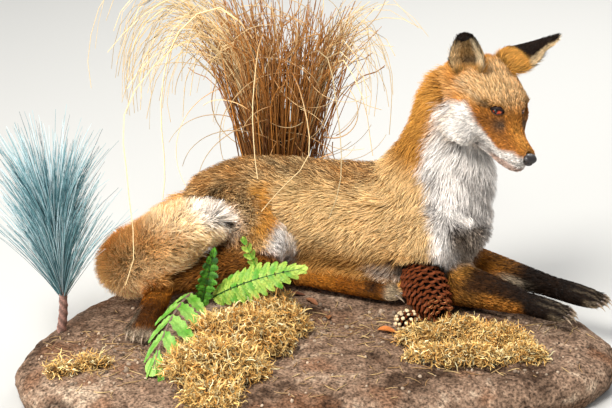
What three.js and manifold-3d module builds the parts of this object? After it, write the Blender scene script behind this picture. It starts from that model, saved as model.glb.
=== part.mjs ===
// A life-size mounted red fox, lying with its forelegs stretched out and its head turned to its right,
// on a low base made to look like rock and dressed with moss, ferns, cones, dry grass and a pine sprig.
//
// Units are millimetres. +X is the way the trunk points, +Y its left and +Z up. The origin is the middle
// of the base's flat underside. Every solid is the outline of the animal's coat, tips of the hair included.
//
// Soft forms are lofts: closed tubes of rounded sections along a smooth line of stations. A station is
//   [x, y, z, half width, height above the line, depth below the line]
// and a loft may add how much its sections narrow upwards. Neighbours are cut clear of each other.

import * as THREE from "three";
import { mergeVertices } from "three/addons/utils/BufferGeometryUtils.js";
import Module from "manifold-3d";

const wasm = await Module();
wasm.setup();

// ---------------------------------------------------------------- driving dimensions

const CLEARANCE = 0.35; // gap between solids that touch

// The base.
const BASE_TURN = THREE.MathUtils.degToRad(16); // its long axis against the trunk's
const BASE_RIM_HEIGHT = 56; // top of the rounded edge
const BASE_CROWN = 6; // how much higher the middle is than the edge
const BASE_BULGE_HEIGHT = 24; // where the edge stands out furthest
const BASE_FOOT_INSET = 14; // how far the underside draws in from there
const BASE_FOOT_HEIGHT = 5; // the rounding above the underside
const BASE_MIDDLE = [-20, 20]; // where its spokes meet, in its own turned axes
// The outline at its widest, in the base's own turned axes.
const BASE_OUTLINE = [
  [-420, -75], [-394, 20], [-325, 130], [-200, 240], [-20, 284], [160, 250], [285, 150], [360, 45],
  [392, -40], [330, -128], [120, -195], [-160, -222], [-345, -200],
];

// The fox: landmarks of the skeleton, as the coat's middle line passes them.
const FOX = {
  knee_near: [-104, 44, 124],
  hock_near: [-234, 8, 96],
  toes_near: [-227, -112, 74],
  knee_far: [-92, 156, 146],
  hock_far: [-74, 108, 84],
  toes_far: [74, 99, 76],
  elbow_near: [98, 118, 100],
  wrist_near: [232, 104, 84],
  toes_fore_near: [304, 98, 74],
  elbow_far: [112, 190, 104],
  wrist_far: [272, 168, 80],
  toes_fore_far: [342, 156, 72],
};

// The head's own frame: +x towards the nose, +y its left, +z up, from midway between the eyes.
const HEAD_AT = [212, 105, 351];
const HEAD_TURN = THREE.MathUtils.degToRad(-39); // to its right
const HEAD_NOD = THREE.MathUtils.degToRad(13); // nose down
const HEAD_TILT = THREE.MathUtils.degToRad(-10); // left ear down
const EYE_RADIUS = 8.8;
const EYE_AT = [-4, 18, 2];
const EYE_OPENING = [11, 5.5, 7]; // half width, half height and depth of the socket round it
const EYE_SLANT = 0.12; // radians, inner corner down
const EYE_FACING = 0.62; // radians, the opening's plane against the head's side
const EAR_ROOT = [-56, 34, 24];
const EAR_WIDTH = 39;
const EAR_THICKNESS = 3.2;

// ---------------------------------------------------------------- colours

const finish = (color, roughness = 0.85, metalness = 0) =>
  new THREE.MeshStandardMaterial({ color, roughness, metalness });
const MATERIALS = {
  russet: finish(0xb5743a),
  grizzled: finish(0x8d6f4e),
  white: finish(0xd8d0c4),
  buff: finish(0xc2a274),
  black: finish(0x2b211c),
  umber: finish(0x54402f),
  eye: finish(0x5a2410, 0.1),
  nose: finish(0x17120f, 0.4),
  rock: finish(0x5d4c3f, 0.95),
  moss: finish(0xb08c4a, 0.95),
  cone: finish(0x5b2c17, 0.7),
  fern: finish(0x5fae35, 0.6),
  grass: finish(0xa9792f, 0.8),
  pine: finish(0x7fa3a8, 0.7),
  bark: finish(0x9a6a52, 0.9),
};

// ---------------------------------------------------------------- small tools

const vec = (a) => new THREE.Vector3(a[0], a[1], a[2]);
const lerp = (a, b, t) => a + (b - a) * t;
const smooth = (lo, hi, t) => {
  const s = Math.min(1, Math.max(0, (t - lo) / (hi - lo)));
  return s * s * (3 - 2 * s);
};

// A closed indexed mesh as a manifold solid, turned inside out if its faces point inwards.
function solid(positions, triangles) {
  const make = (index) =>
    new wasm.Manifold(
      new wasm.Mesh({
        numProp: 3,
        vertProperties: Float32Array.from(positions),
        triVerts: Uint32Array.from(index),
      }),
    );
  const made = make(triangles);
  if (made.volume() >= 0) return made;
  const turned = [];
  for (let i = 0; i < triangles.length; i += 3)
    turned.push(triangles[i], triangles[i + 2], triangles[i + 1]);
  return make(turned);
}

// A three.js geometry as a manifold solid.
function solidOf(geometry) {
  const bare = geometry.clone();
  bare.deleteAttribute("normal");
  bare.deleteAttribute("uv");
  const merged = mergeVertices(bare, 1e-3);
  return solid(merged.attributes.position.array, merged.index.array);
}

// A manifold solid as a three.js geometry.
function geometryOf(made) {
  const mesh = made.getMesh();
  const place = new Float32Array(mesh.numVert * 3);
  for (let i = 0; i < mesh.numVert; i++)
    place.set(mesh.vertProperties.subarray(i * mesh.numProp, i * mesh.numProp + 3), i * 3);
  const geometry = new THREE.BufferGeometry();
  geometry.setAttribute("position", new THREE.BufferAttribute(place, 3));
  geometry.setIndex(new THREE.BufferAttribute(new Uint32Array(mesh.triVerts), 1));
  geometry.computeVertexNormals();
  return geometry;
}

const joined = (...solids) => solids.reduce((a, b) => a.add(b));
const without = (made, ...cutters) => cutters.reduce((a, b) => a.subtract(b), made);

// The largest of the bodies that a cut leaves.
function largest(made) {
  const bodies = made.decompose();
  return bodies.reduce((a, b) => (b.volume() > a.volume() ? b : a));
}

// Catmull-Rom interpolation of rows of numbers at t from 0 to 1.
function along(rows, t) {
  const span = t * (rows.length - 1);
  const i = Math.min(rows.length - 2, Math.floor(span));
  const f = span - i;
  const at = (k) => rows[Math.min(rows.length - 1, Math.max(0, k))];
  const [a, b, c, d] = [at(i - 1), at(i), at(i + 1), at(i + 2)];
  return b.map(
    (_, k) =>
      0.5 *
      (2 * b[k] +
        (c[k] - a[k]) * f +
        (2 * a[k] - 5 * b[k] + 4 * c[k] - d[k]) * f * f +
        (3 * b[k] - a[k] - 3 * c[k] + d[k]) * f * f * f),
  );
}

// A closed tube through stations. back is the way the upper side faces, at the first and last station.
function loft(stations, options = {}) {
  const {
    rings = 10,
    sides = 14,
    back = [0, 0, 1],
    backEnd = back,
    taper = 0,
    taperEnd = taper,
    cap = 0.75,
    capEnd = cap,
    from = 0,
    to = 1,
    grow = 0,
  } = options;
  const positions = [];
  const CAP_STEPS = [0.35, 0.7];
  const samples = [];
  for (let i = 0; i < rings; i++) samples.push(lerp(from, to, i / (rings - 1)));
  const frames = samples.map((t) => {
    const row = along(stations, t);
    const ahead = vec(along(stations, Math.min(1, t + 0.01)));
    const behind = vec(along(stations, Math.max(0, t - 0.01)));
    const way = ahead.sub(behind).normalize();
    const up = vec(back).lerp(vec(backEnd), t);
    const side = new THREE.Vector3().crossVectors(up, way).normalize();
    const top = new THREE.Vector3().crossVectors(way, side);
    return { at: vec(row), way, side, top, size: row.slice(3).map((v) => v + grow), t };
  });
  const ring = (frame, scale, shift) => {
    const narrow = lerp(taper, taperEnd, frame.t);
    for (let j = 0; j < sides; j++) {
      const angle = (2 * Math.PI * (j + 0.5)) / sides;
      const rise = Math.sin(angle);
      const reach = Math.cos(angle) * frame.size[0] * (1 - narrow * rise);
      const height = rise * (rise > 0 ? frame.size[1] : frame.size[2]);
      const p = frame.at
        .clone()
        .addScaledVector(frame.way, shift)
        .addScaledVector(frame.side, reach * scale)
        .addScaledVector(frame.top, height * scale);
      positions.push(p.x, p.y, p.z);
    }
  };
  const [first, last] = [frames[0], frames[frames.length - 1]];
  const reachOf = (frame, share) => share * Math.min(...frame.size);
  const round = (s) => Math.sqrt(1 - s * s);
  [...CAP_STEPS].reverse().forEach((s) => ring(first, round(s), -s * reachOf(first, cap)));
  frames.forEach((frame) => ring(frame, 1, 0));
  CAP_STEPS.forEach((s) => ring(last, round(s), s * reachOf(last, capEnd)));
  const start = first.at.clone().addScaledVector(first.way, -reachOf(first, cap));
  const end = last.at.clone().addScaledVector(last.way, reachOf(last, capEnd));
  const pole = positions.length / 3;
  const count = pole / sides;
  positions.push(start.x, start.y, start.z, end.x, end.y, end.z);
  const triangles = [];
  for (let i = 0; i < count - 1; i++)
    for (let j = 0; j < sides; j++) {
      const [a, b] = [i * sides + j, i * sides + ((j + 1) % sides)];
      triangles.push(a, b, a + sides, b, b + sides, a + sides);
    }
  const lastRing = (count - 1) * sides;
  for (let j = 0; j < sides; j++) {
    const k = (j + 1) % sides;
    triangles.push(pole, k, j, pole + 1, lastRing + j, lastRing + k);
  }
  return solid(positions, triangles);
}

// An ellipsoid with its own turned axes.
function ellipsoid(at, radii, turn = [0, 0, 0], across = 10, high = 7, grow = 0) {
  const geometry = new THREE.SphereGeometry(1, across, high);
  geometry.scale(radii[0] + grow, radii[1] + grow, radii[2] + grow);
  geometry.rotateX(Math.PI / 2 + turn[0]).rotateY(turn[1]).rotateZ(turn[2]);
  geometry.translate(at[0], at[1], at[2]);
  return solidOf(geometry);
}

// A pointed rod between two points, bent by a rise at its middle.
function spike(from, to, radius, rise = [0, 0, 0], sides = 5, rings = 4) {
  const middle = vec(from).lerp(vec(to), 0.5).add(vec(rise));
  const tip = radius * 0.25;
  const stations = [
    [...from, radius, radius, radius],
    [...middle.toArray(), radius * 0.8, radius * 0.8, radius * 0.8],
    [...to, tip, tip, tip],
  ];
  const way = vec(to).sub(vec(from)).normalize();
  const back = Math.abs(way.z) > 0.9 ? [1, 0, 0] : [0, 0, 1];
  return loft(stations, { rings, sides, back, cap: 0.5 });
}

// ---------------------------------------------------------------- the base

// The outline as a smooth closed line, in the base's own axes.
const outlineCurve = new THREE.CatmullRomCurve3(
  BASE_OUTLINE.map(([u, v]) => new THREE.Vector3(u, v, 0)),
  true,
  "centripetal",
);

// A point of the base's axes in the part's own.
function fromBase(u, v) {
  const [c, s] = [Math.cos(BASE_TURN), Math.sin(BASE_TURN)];
  return [u * c - v * s, u * s + v * c];
}

// How high the base's top is at a share of the way from its middle to its edge, before the edge rounds.
const swell = (share) => BASE_RIM_HEIGHT + BASE_CROWN * (1 - smooth(0.25, 1, share));

// The base's solid. lift raises its top, to cut what rests on it clear.
function baseSolid(lift = 0) {
  const SPOKES = 32;
  const middle = BASE_MIDDLE;
  // share of the outline, and height; the rock's edge rolls over and draws in below
  const profile = [
    [0.25, swell(0.25)], [0.5, swell(0.5)], [0.72, swell(0.72)], [0.88, swell(0.88) - 2],
    [0.955, BASE_RIM_HEIGHT - 10], [0.99, BASE_RIM_HEIGHT - 21], [1.0, BASE_BULGE_HEIGHT],
  ];
  const positions = [];
  const rough = (angle, share) =>
    share * (3 * Math.sin(5 * angle + 1) + 2 * Math.sin(11 * angle) + 1.5 * Math.sin(17 * angle + 2));
  const spoke = (i) => outlineCurve.getPointAt(i / SPOKES);
  const put = (i, share, z, inset = 0) => {
    const p = spoke(i);
    const [du, dv] = [p.x - middle[0], p.y - middle[1]];
    const reach = Math.hypot(du, dv);
    const angle = Math.atan2(dv, du);
    const r = share * reach - inset + rough(angle, share) * smooth(0.5, 1, share);
    const [x, y] = fromBase(middle[0] + (du / reach) * r, middle[1] + (dv / reach) * r);
    positions.push(x, y, z);
  };
  for (const [share, z] of profile) for (let i = 0; i < SPOKES; i++) put(i, share, z + lift);
  for (let i = 0; i < SPOKES; i++) put(i, 1, BASE_FOOT_HEIGHT, BASE_FOOT_INSET * 0.7);
  for (let i = 0; i < SPOKES; i++) put(i, 1, 0, BASE_FOOT_INSET);
  const rows = profile.length + 2;
  const [cx, cy] = fromBase(...middle);
  const top = positions.length / 3;
  positions.push(cx, cy, swell(0) + lift, cx, cy, 0);
  const triangles = [];
  for (let r = 0; r < rows - 1; r++)
    for (let i = 0; i < SPOKES; i++) {
      const [a, b] = [r * SPOKES + i, r * SPOKES + ((i + 1) % SPOKES)];
      triangles.push(a, a + SPOKES, b, b, a + SPOKES, b + SPOKES);
    }
  const last = (rows - 1) * SPOKES;
  for (let i = 0; i < SPOKES; i++) {
    const k = (i + 1) % SPOKES;
    triangles.push(top, i, k, top + 1, last + k, last + i);
  }
  return solid(positions, triangles);
}

const base = baseSolid();
const ground = baseSolid(CLEARANCE);

// ---------------------------------------------------------------- the head

const headFrame = new THREE.Matrix4()
  .makeTranslation(...HEAD_AT)
  .multiply(new THREE.Matrix4().makeRotationZ(HEAD_TURN))
  .multiply(new THREE.Matrix4().makeRotationY(HEAD_NOD))
  .multiply(new THREE.Matrix4().makeRotationX(HEAD_TILT));

const placedOnHead = (made) => made.transform(headFrame.elements);

// x, middle height, half width, height above, depth below, from the nape to the muzzle's end
const SKULL = [
  [-102, -24, 50, 44, 34], [-82, -16, 54, 58, 42], [-60, -14, 57, 62, 44], [-40, -14, 59, 58, 43],
  [-20, -14, 57, 43, 41], [-4, -18, 42, 30, 35], [12, -25, 27, 16, 28], [26, -30, 22, 11.5, 24],
  [40, -33, 19, 11, 19], [50, -35, 16.5, 10.5, 15.5], [57, -36.5, 14, 10, 12.5],
];
const JAW = [
  [-20, -52, 24, 12, 10], [4, -54, 19, 12, 9.5], [24, -57, 15.5, 10, 9], [38, -57, 12, 9, 8.5],
  [48, -55, 9.5, 7, 6.5],
];
// Each lies in the head's own frame; a cheek is mirrored to the other side.
const CHEEK = { at: [-48, 34, -34], radii: [44, 27, 32], nod: 0.25, turn: 0.3 };
const NOSE_PAD = { at: [59.5, 0, -35.5], radii: [9, 10, 8], nod: 0.3 };
const PHILTRUM = { at: [60, 0, -42], radii: [5.5, 4, 7] };
const onAxis = (rows) => rows.map(([x, z, w, up, down]) => [x, 0, z, w, up, down]);

function skullSolid(grow = 0) {
  const skull = loft(onAxis(SKULL), { rings: 14, sides: 16, taper: 0, taperEnd: 0.2, cap: 0.6, grow });
  const [x, y, z] = CHEEK.at;
  const cheek = (side) =>
    ellipsoid([x, side * y, z], CHEEK.radii, [0, CHEEK.nod, side * CHEEK.turn], 8, 5, grow);
  return joined(skull, cheek(1), cheek(-1));
}

function eyeBall(side, grow = 0) {
  const radii = [EYE_RADIUS, EYE_RADIUS, EYE_RADIUS];
  return ellipsoid([EYE_AT[0], side * EYE_AT[1], EYE_AT[2]], radii, [0, 0, 0], 10, 6, grow);
}

// The almond-shaped hollow that the eye looks out of.
function socket(side) {
  const [long, high, deep] = EYE_OPENING;
  const out = [EYE_AT[0] + EYE_RADIUS * 0.75, side * (EYE_AT[1] + EYE_RADIUS * 0.95), EYE_AT[2]];
  return ellipsoid(out, [long, deep, high], [0, EYE_SLANT, -side * EYE_FACING], 8, 4);
}

function noseSolid(grow = 0) {
  const pad = ellipsoid(NOSE_PAD.at, NOSE_PAD.radii, [0, NOSE_PAD.nod, 0], 10, 6, grow);
  const philtrum = ellipsoid(PHILTRUM.at, PHILTRUM.radii, [0, 0, 0], 6, 4, grow);
  return joined(pad, philtrum);
}

function jawSolid(grow = 0) {
  return loft(onAxis(JAW), { rings: 5, sides: 10, cap: 0.6, grow });
}

// An ear: a cupped shell that stands on its root, its hollow facing out from the head.
// lean is the way it grows, open the way its hollow faces, fold how far its tip is bent over in radians,
// shift moves its root from EAR_ROOT, and length is along its middle.
function earSolid({ side, lean, open, fold, shift, length }, grow = 0) {
  const [ROWS, COLUMNS] = [8, 6];
  const up = vec([lean[0], side * lean[1], lean[2]]).normalize();
  const face = vec([open[0], side * open[1], open[2]]);
  face.addScaledVector(up, -face.dot(up)).normalize();
  const across = new THREE.Vector3().crossVectors(up, face);
  const root = vec([EAR_ROOT[0], side * EAR_ROOT[1], EAR_ROOT[2]]).add(vec(shift));
  const spine = [];
  const at = root.clone();
  const STEPS = 60;
  for (let i = 0; i <= STEPS; i++) {
    const t = i / STEPS;
    const bend = fold * smooth(0.58, 0.86, t);
    const way = up.clone().multiplyScalar(Math.cos(bend)).addScaledVector(face, Math.sin(bend));
    const out = face.clone().multiplyScalar(Math.cos(bend)).addScaledVector(up, -Math.sin(bend));
    spine.push({ at: at.clone(), way, out });
    at.addScaledVector(way, length / STEPS);
  }
  const half = EAR_THICKNESS / 2 + grow;
  const sheet = (depth) => {
    const rows = [];
    for (let i = 0; i < ROWS; i++) {
      const t = i / (ROWS - 1);
      const { at: middle, out } = spine[Math.round(t * STEPS)];
      const width = (EAR_WIDTH / 2) * (0.8 + 0.45 * Math.sin(Math.PI * Math.min(1, t * 1.5))) *
        Math.sqrt(1.0002 - t ** 2.6) * (1 - 0.25 * t);
      const cup = lerp(1.25, 0.55, t); // how far the shell wraps round, in radians each way
      const radius = width / Math.sin(cup);
      for (let j = 0; j < COLUMNS; j++) {
        const angle = cup * ((2 * j) / (COLUMNS - 1) - 1);
        const r = radius + depth;
        rows.push(
          middle.clone()
            .addScaledVector(across, r * Math.sin(angle))
            .addScaledVector(out, radius * Math.cos(cup) - r * Math.cos(angle) + radius * 0.35),
        );
      }
    }
    return rows;
  };
  const points = [...sheet(half), ...sheet(-half)];
  const offset = ROWS * COLUMNS;
  const triangles = [];
  for (let i = 0; i < ROWS - 1; i++)
    for (let j = 0; j < COLUMNS - 1; j++) {
      const a = i * COLUMNS + j;
      const quad = [a, a + 1, a + COLUMNS + 1, a + COLUMNS];
      triangles.push(quad[0], quad[1], quad[2], quad[0], quad[2], quad[3]);
      const [p, q, r, s] = quad.map((k) => k + offset);
      triangles.push(p, r, q, p, s, r);
    }
  const rim = [];
  for (let j = 0; j < COLUMNS - 1; j++) rim.push(j);
  for (let i = 0; i < ROWS - 1; i++) rim.push(i * COLUMNS + COLUMNS - 1);
  for (let j = COLUMNS - 1; j > 0; j--) rim.push((ROWS - 1) * COLUMNS + j);
  for (let i = ROWS - 1; i > 0; i--) rim.push(i * COLUMNS);
  rim.forEach((a, k) => {
    const b = rim[(k + 1) % rim.length];
    triangles.push(a, a + offset, b, b, a + offset, b + offset);
  });
  return solid(points.flatMap((p) => p.toArray()), triangles);
}

const EARS = {
  right: { side: -1, lean: [-0.2, 0.35, 0.9], open: [0.6, 0.8, 0], fold: 1.7, shift: [-2, 2, 4], length: 80 },
  left: {
    side: 1, lean: [0.07, 0.87, 0.49], open: [-0.1, 0.45, -0.89], fold: 0.12,
    shift: [-1, -17, 17], length: 92,
  },
};

// ---------------------------------------------------------------- neck, trunk and tail

const NECK = [
  [104, 150, 205, 62, 96, 87], [112, 149, 250, 60, 80, 87], [120, 146, 292, 56, 58, 77],
  [130, 138, 330, 53, 60, 60], [146, 128, 360, 50, 58, 52],
];
const neckSolid = (grow = 0) =>
  loft(NECK, { rings: 6, sides: 12, back: [-1, 0, 0.25], backEnd: [-0.75, 0.45, 0.6], cap: 0.5, grow });

const TRUNK = [
  [-222, 152, 148, 48, 60, 58], [-190, 151, 150, 62, 76, 72], [-150, 150, 154, 69, 82, 82],
  [-90, 150, 156, 68, 84, 84], [-20, 150, 158, 68, 84, 86], [50, 150, 160, 70, 88, 88],
  [110, 150, 164, 68, 90, 88], [150, 150, 180, 52, 70, 58],
];
const trunkSolid = (grow = 0) =>
  loft(TRUNK, { rings: 9, sides: 14, taper: -0.15, taperEnd: -0.02, cap: 0.7, capEnd: 0.8, grow });

const TAIL = [
  [-204, 152, 156, 38, 40, 36], [-252, 148, 134, 41, 43, 40], [-290, 126, 104, 44, 43, 44],
  [-309, 82, 98, 48, 46, 48], [-297, 30, 100, 52, 51, 50], [-262, 10, 126, 52, 53, 50],
  [-229, 16, 156, 51, 53, 48], [-200, 21, 175, 47, 48, 43], [-174, 26, 186, 37, 36, 33],
];

// Where the tail is parted into its lengths, as shares of its line.
const TAIL_LENGTHS = { tail_root: [0, 0.3], tail_middle: [0.301, 0.66], tail_tip: [0.661, 1] };
function tailSolid({ from = 0, to = 1, grow = 0 }) {
  const rings = Math.round(17 * (to - from)) + 1;
  const cap = from > 0 ? 0 : 0.5;
  const capEnd = to < 1 ? 0 : 1.2;
  return loft(TAIL, { rings, sides: 12, cap, capEnd, from, to, grow });
}

// ---------------------------------------------------------------- legs

// One length of a leg from point to point, thick at its first end.
function limb(from, to, thick, thin, options = {}) {
  const { flat = 1, bow = [0, 0, 0], grow = 0, rings = 4, sides = 10, back = [0, 0, 1] } = options;
  const rows = [0, 0.5, 1].map((t) => {
    const bulge = 4 * t * (1 - t);
    const r = lerp(thick, thin, t);
    const p = from.map((v, k) => lerp(v, to[k], t) + bow[k] * bulge);
    return [...p, r, r * flat, r * flat];
  });
  return loft(rows, { rings, sides, back, cap: 0.8, grow });
}

// A claw: a small cone from its root to its point.
function claw(root, point, radius) {
  const length = root.distanceTo(point);
  const cone = new THREE.ConeGeometry(radius, length, 4, 1);
  cone.translate(0, length / 2, 0);
  const way = point.clone().sub(root).normalize();
  cone.applyQuaternion(new THREE.Quaternion().setFromUnitVectors(new THREE.Vector3(0, 1, 0), way));
  cone.translate(root.x, root.y, root.z);
  return solidOf(cone);
}

// Across and forward of the toes' middles, in half widths of the paw.
const TOES = [[-0.78, -0.2], [-0.27, 0], [0.27, 0], [0.78, -0.2]];
const CLAW_LENGTH = 12;
const CLAW_RADIUS = 2.4;

// A paw from its joint to the toes' ends: a pad, four toes and their claws.
function paw(from, to, width, grow = 0) {
  const way = vec(to).sub(vec(from)).normalize();
  const side = new THREE.Vector3().crossVectors(new THREE.Vector3(0, 0, 1), way).normalize();
  const top = new THREE.Vector3().crossVectors(way, side);
  const turn = Math.atan2(way.y, way.x);
  let made = loft(
    [
      [...from, width * 0.82, width * 0.8, width * 0.8],
      [...vec(from).lerp(vec(to), 0.45).toArray(), width * 0.95, width * 0.8, width * 0.8],
      [...vec(to).addScaledVector(way, -width * 0.85).toArray(), width, width * 0.68, width * 0.68],
    ],
    { rings: 3, sides: 10, cap: 0.8, capEnd: 0.7, grow },
  );
  for (const [across, set] of TOES) {
    const at = vec(to).addScaledVector(side, across * width).addScaledVector(way, set * width - 6);
    const toe = [width * 0.62, width * 0.33, width * 0.48];
    made = made.add(ellipsoid(at.toArray(), toe, [0, 0, turn], 6, 4, grow));
    const root = at.clone().addScaledVector(way, width * 0.45).addScaledVector(top, 1);
    const point = root.clone().addScaledVector(way, CLAW_LENGTH + grow).addScaledVector(top, -5);
    made = made.add(claw(root, point, CLAW_RADIUS + grow));
  }
  return made;
}

// Stations of the thighs and upper arms, from the body down.
const THIGH_NEAR = [[-176, 112, 168, 48, 48, 50], [-144, 88, 158, 50, 48, 48], [-110, 58, 136, 40, 36, 36]];
const THIGH_FAR = [[-160, 190, 124, 34, 36, 38], [-110, 206, 112, 36, 38, 36], [-60, 206, 102, 26, 28, 28]];
const ARM_NEAR = [[128, 100, 190, 34, 40, 40], [112, 94, 150, 34, 38, 38], [98, 104, 112, 28, 32, 30]];
const ARM_FAR = [[140, 198, 180, 30, 36, 36], [128, 204, 146, 30, 34, 34], [118, 200, 116, 26, 30, 28]];

const F = FOX;
const HIND_PAW = 20; // half width at the toes
const FORE_PAW = 19;
const legs = {
  thigh_right: (g) => loft(THIGH_NEAR, { rings: 5, sides: 12, back: [0, -0.3, 1], cap: 0.7, grow: g }),
  shank_right: (g) => limb(F.knee_near, F.hock_near, 33, 20, { grow: g, bow: [0, 4, -4] }),
  hind_paw_right: (g) => paw(F.hock_near, F.toes_near, HIND_PAW, g),
  thigh_left: (g) => loft(THIGH_FAR, { rings: 4, sides: 10, cap: 0.7, grow: g }),
  shank_left: (g) => limb(F.knee_far, F.hock_far, 36, 20, { grow: g, back: [1, 0, 0] }),
  hind_paw_left: (g) => paw(F.hock_far, F.toes_far, HIND_PAW, g),
  upper_arm_right: (g) => loft(ARM_NEAR, { rings: 4, sides: 10, back: [-1, 0, 0], cap: 0.7, grow: g }),
  forearm_right: (g) => limb(F.elbow_near, F.wrist_near, 39, 20, { grow: g, bow: [0, 0, 1] }),
  fore_paw_right: (g) => paw(F.wrist_near, F.toes_fore_near, FORE_PAW, g),
  upper_arm_left: (g) => loft(ARM_FAR, { rings: 4, sides: 10, back: [-1, 0, 0], cap: 0.7, grow: g }),
  forearm_left: (g) => limb(F.elbow_far, F.wrist_far, 28, 16, { grow: g }),
  fore_paw_left: (g) => paw(F.wrist_far, F.toes_fore_far, FORE_PAW, g),
};

// ---------------------------------------------------------------- moss

// A low cushion of moss: mounds that run together, each [x, y, z, radius x, radius y, height].
const MOSS = {
  moss_left: [
    [-92, 6, 60, 52, 42, 26], [-70, -40, 62, 56, 46, 32], [-96, -100, 62, 80, 56, 36],
    [-104, -168, 56, 76, 50, 38], [-94, -216, 42, 56, 28, 34],
  ],
  moss_right: [
    [128, -14, 56, 38, 34, 20], [172, 20, 57, 48, 34, 24], [226, 12, 55, 52, 34, 24],
    [266, -12, 52, 36, 28, 18], [190, -44, 54, 62, 34, 20], [140, -50, 54, 36, 24, 16],
  ],
  moss_small: [[-292, -206, 50, 34, 20, 16], [-248, -212, 48, 30, 18, 16], [-264, -184, 54, 28, 18, 14]],
};
const mound = ([x, y, z, rx, ry, rz]) => ellipsoid([x, y, z], [rx, ry, rz], [0, 0, BASE_TURN], 9, 5);
const mossSolid = (mounds) => joined(...mounds.map(mound));

// ---------------------------------------------------------------- cones

const CONES = {
  cone_large: {
    at: [110, 78.3, 102.4], way: [0.528, -0.828, -0.184], length: 118, radius: 32, rows: 9, around: 14,
  },
  cone_small: { at: [104, 14, 77], way: [0.86, -0.45, 0.1], length: 36, radius: 15, rows: 6, around: 10 },
};

// The plain egg that keeps the neighbours clear of a cone's scales.
const CONE_GAP_SIDES = 10;
const CONE_GAP_BUMPS = [1.15, 1.15];

// A closed egg of overlapping scales: bumps on a lattice, every other row half a step round.
// Its scales stand out and in by bumps, as shares of its radius.
function coneSolid({ at, way, length, radius, rows, around }, grow = 0, bumps = [1.06, 0.92]) {
  const turn = new THREE.Quaternion().setFromUnitVectors(new THREE.Vector3(0, 0, 1), vec(way).normalize());
  const positions = [];
  const put = (x, y, z) => {
    const p = new THREE.Vector3(x, y, z).applyQuaternion(turn).add(vec(at));
    positions.push(p.x, p.y, p.z);
  };
  for (let i = 1; i < rows; i++) {
    const t = i / rows;
    const z = (t - 0.46) * length;
    const egg = Math.sin(Math.PI * t ** 0.8) ** 0.62;
    for (let j = 0; j < around; j++) {
      const r = radius * egg * bumps[(i + j) % 2] + grow;
      const angle = (2 * Math.PI * j) / around;
      put(r * Math.cos(angle), r * Math.sin(angle), z);
    }
  }
  const pole = positions.length / 3;
  put(0, 0, -0.46 * length - grow);
  put(0, 0, 0.54 * length + grow);
  const triangles = [];
  for (let i = 0; i < rows - 2; i++)
    for (let j = 0; j < around; j++) {
      const [a, b] = [i * around + j, i * around + ((j + 1) % around)];
      triangles.push(a, b, a + around, b, b + around, a + around);
    }
  const last = (rows - 2) * around;
  for (let j = 0; j < around; j++) {
    const k = (j + 1) % around;
    triangles.push(pole, k, j, pole + 1, last + j, last + k);
  }
  return solid(positions, triangles);
}

// ---------------------------------------------------------------- ferns

const FERN_THICKNESS = 1.6;
// Each frond grows from its root towards its tip and rises by its lift at the middle.
const FERNS = {
  fern_right: { root: [-158, -16, 92], tip: [-37, -6, 145], width: 46, lift: 16, pairs: 7, tilt: 0.9 },
  fern_up: { root: [-104, 6, 134], tip: [-120, 2, 176], width: 16, lift: 0, pairs: 3, tilt: -1.2 },
  fern_down: { root: [-182, -34, 104], tip: [-180, -190, 68], width: 74, lift: 16, pairs: 6, tilt: 0.12 },
  fern_dark: { root: [-172, -26, 82], tip: [-152, -26, 166], width: 26, lift: 0, pairs: 5, tilt: -1.2 },
};

// A feathered plate: lobes in pairs down both sides of a midrib, bent along an arc.
function fernSolid({ root, tip, width, lift, pairs, tilt }) {
  const length = vec(root).distanceTo(vec(tip));
  const half = (t) => (width / 2) * Math.sin(Math.PI * (0.16 + 0.8 * t)) ** 0.8;
  const RIB = 1.6;
  const outline = [];
  for (let i = 0; i < pairs; i++) {
    const [t0, t1, t2] = [i, i + 0.62, i + 0.86].map((v) => v / pairs);
    outline.push([t0 * length, RIB], [(t1 + 0.35 / pairs) * length, half(t1)]);
    outline.push([(t2 + 0.3 / pairs) * length, half(t2) * 0.8], [t2 * length, RIB]);
  }
  const shape = new THREE.Shape([
    ...outline.map(([x, y]) => new THREE.Vector2(x, y)),
    new THREE.Vector2(length * 1.04, 0),
    ...outline.reverse().map(([x, y]) => new THREE.Vector2(x, -y)),
  ]);
  const plate = new THREE.ExtrudeGeometry(shape, { depth: FERN_THICKNESS, bevelEnabled: false });
  plate.translate(0, 0, -FERN_THICKNESS / 2);
  const place = plate.attributes.position;
  const DROOP = 0.22; // how far the lobes' ends hang, against their distance from the rib
  for (let i = 0; i < place.count; i++) {
    const t = place.getX(i) / length;
    place.setZ(i, place.getZ(i) + lift * 4 * t * (1 - t) - Math.abs(place.getY(i)) * DROOP);
  }
  plate.rotateX(tilt);
  const way = vec(tip).sub(vec(root)).normalize();
  plate.rotateY(-Math.asin(way.z)).rotateZ(Math.atan2(way.y, way.x));
  plate.translate(root[0], root[1], root[2]);
  return solidOf(plate);
}

// ---------------------------------------------------------------- dry grass and pine sprig

const GRASS_ROOT = [-140, 238, 56];
// x, y, z and radius of the standing bundle
const GRASS_BUNDLE = [
  [...GRASS_ROOT, 26, 22, 22], [-141, 236, 120, 30, 24, 24], [-144, 234, 190, 44, 34, 34],
  [-150, 232, 260, 62, 42, 42], [-154, 230, 340, 86, 50, 50], [-150, 228, 410, 100, 52, 52],
  [-142, 226, 462, 92, 46, 46],
];
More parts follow.
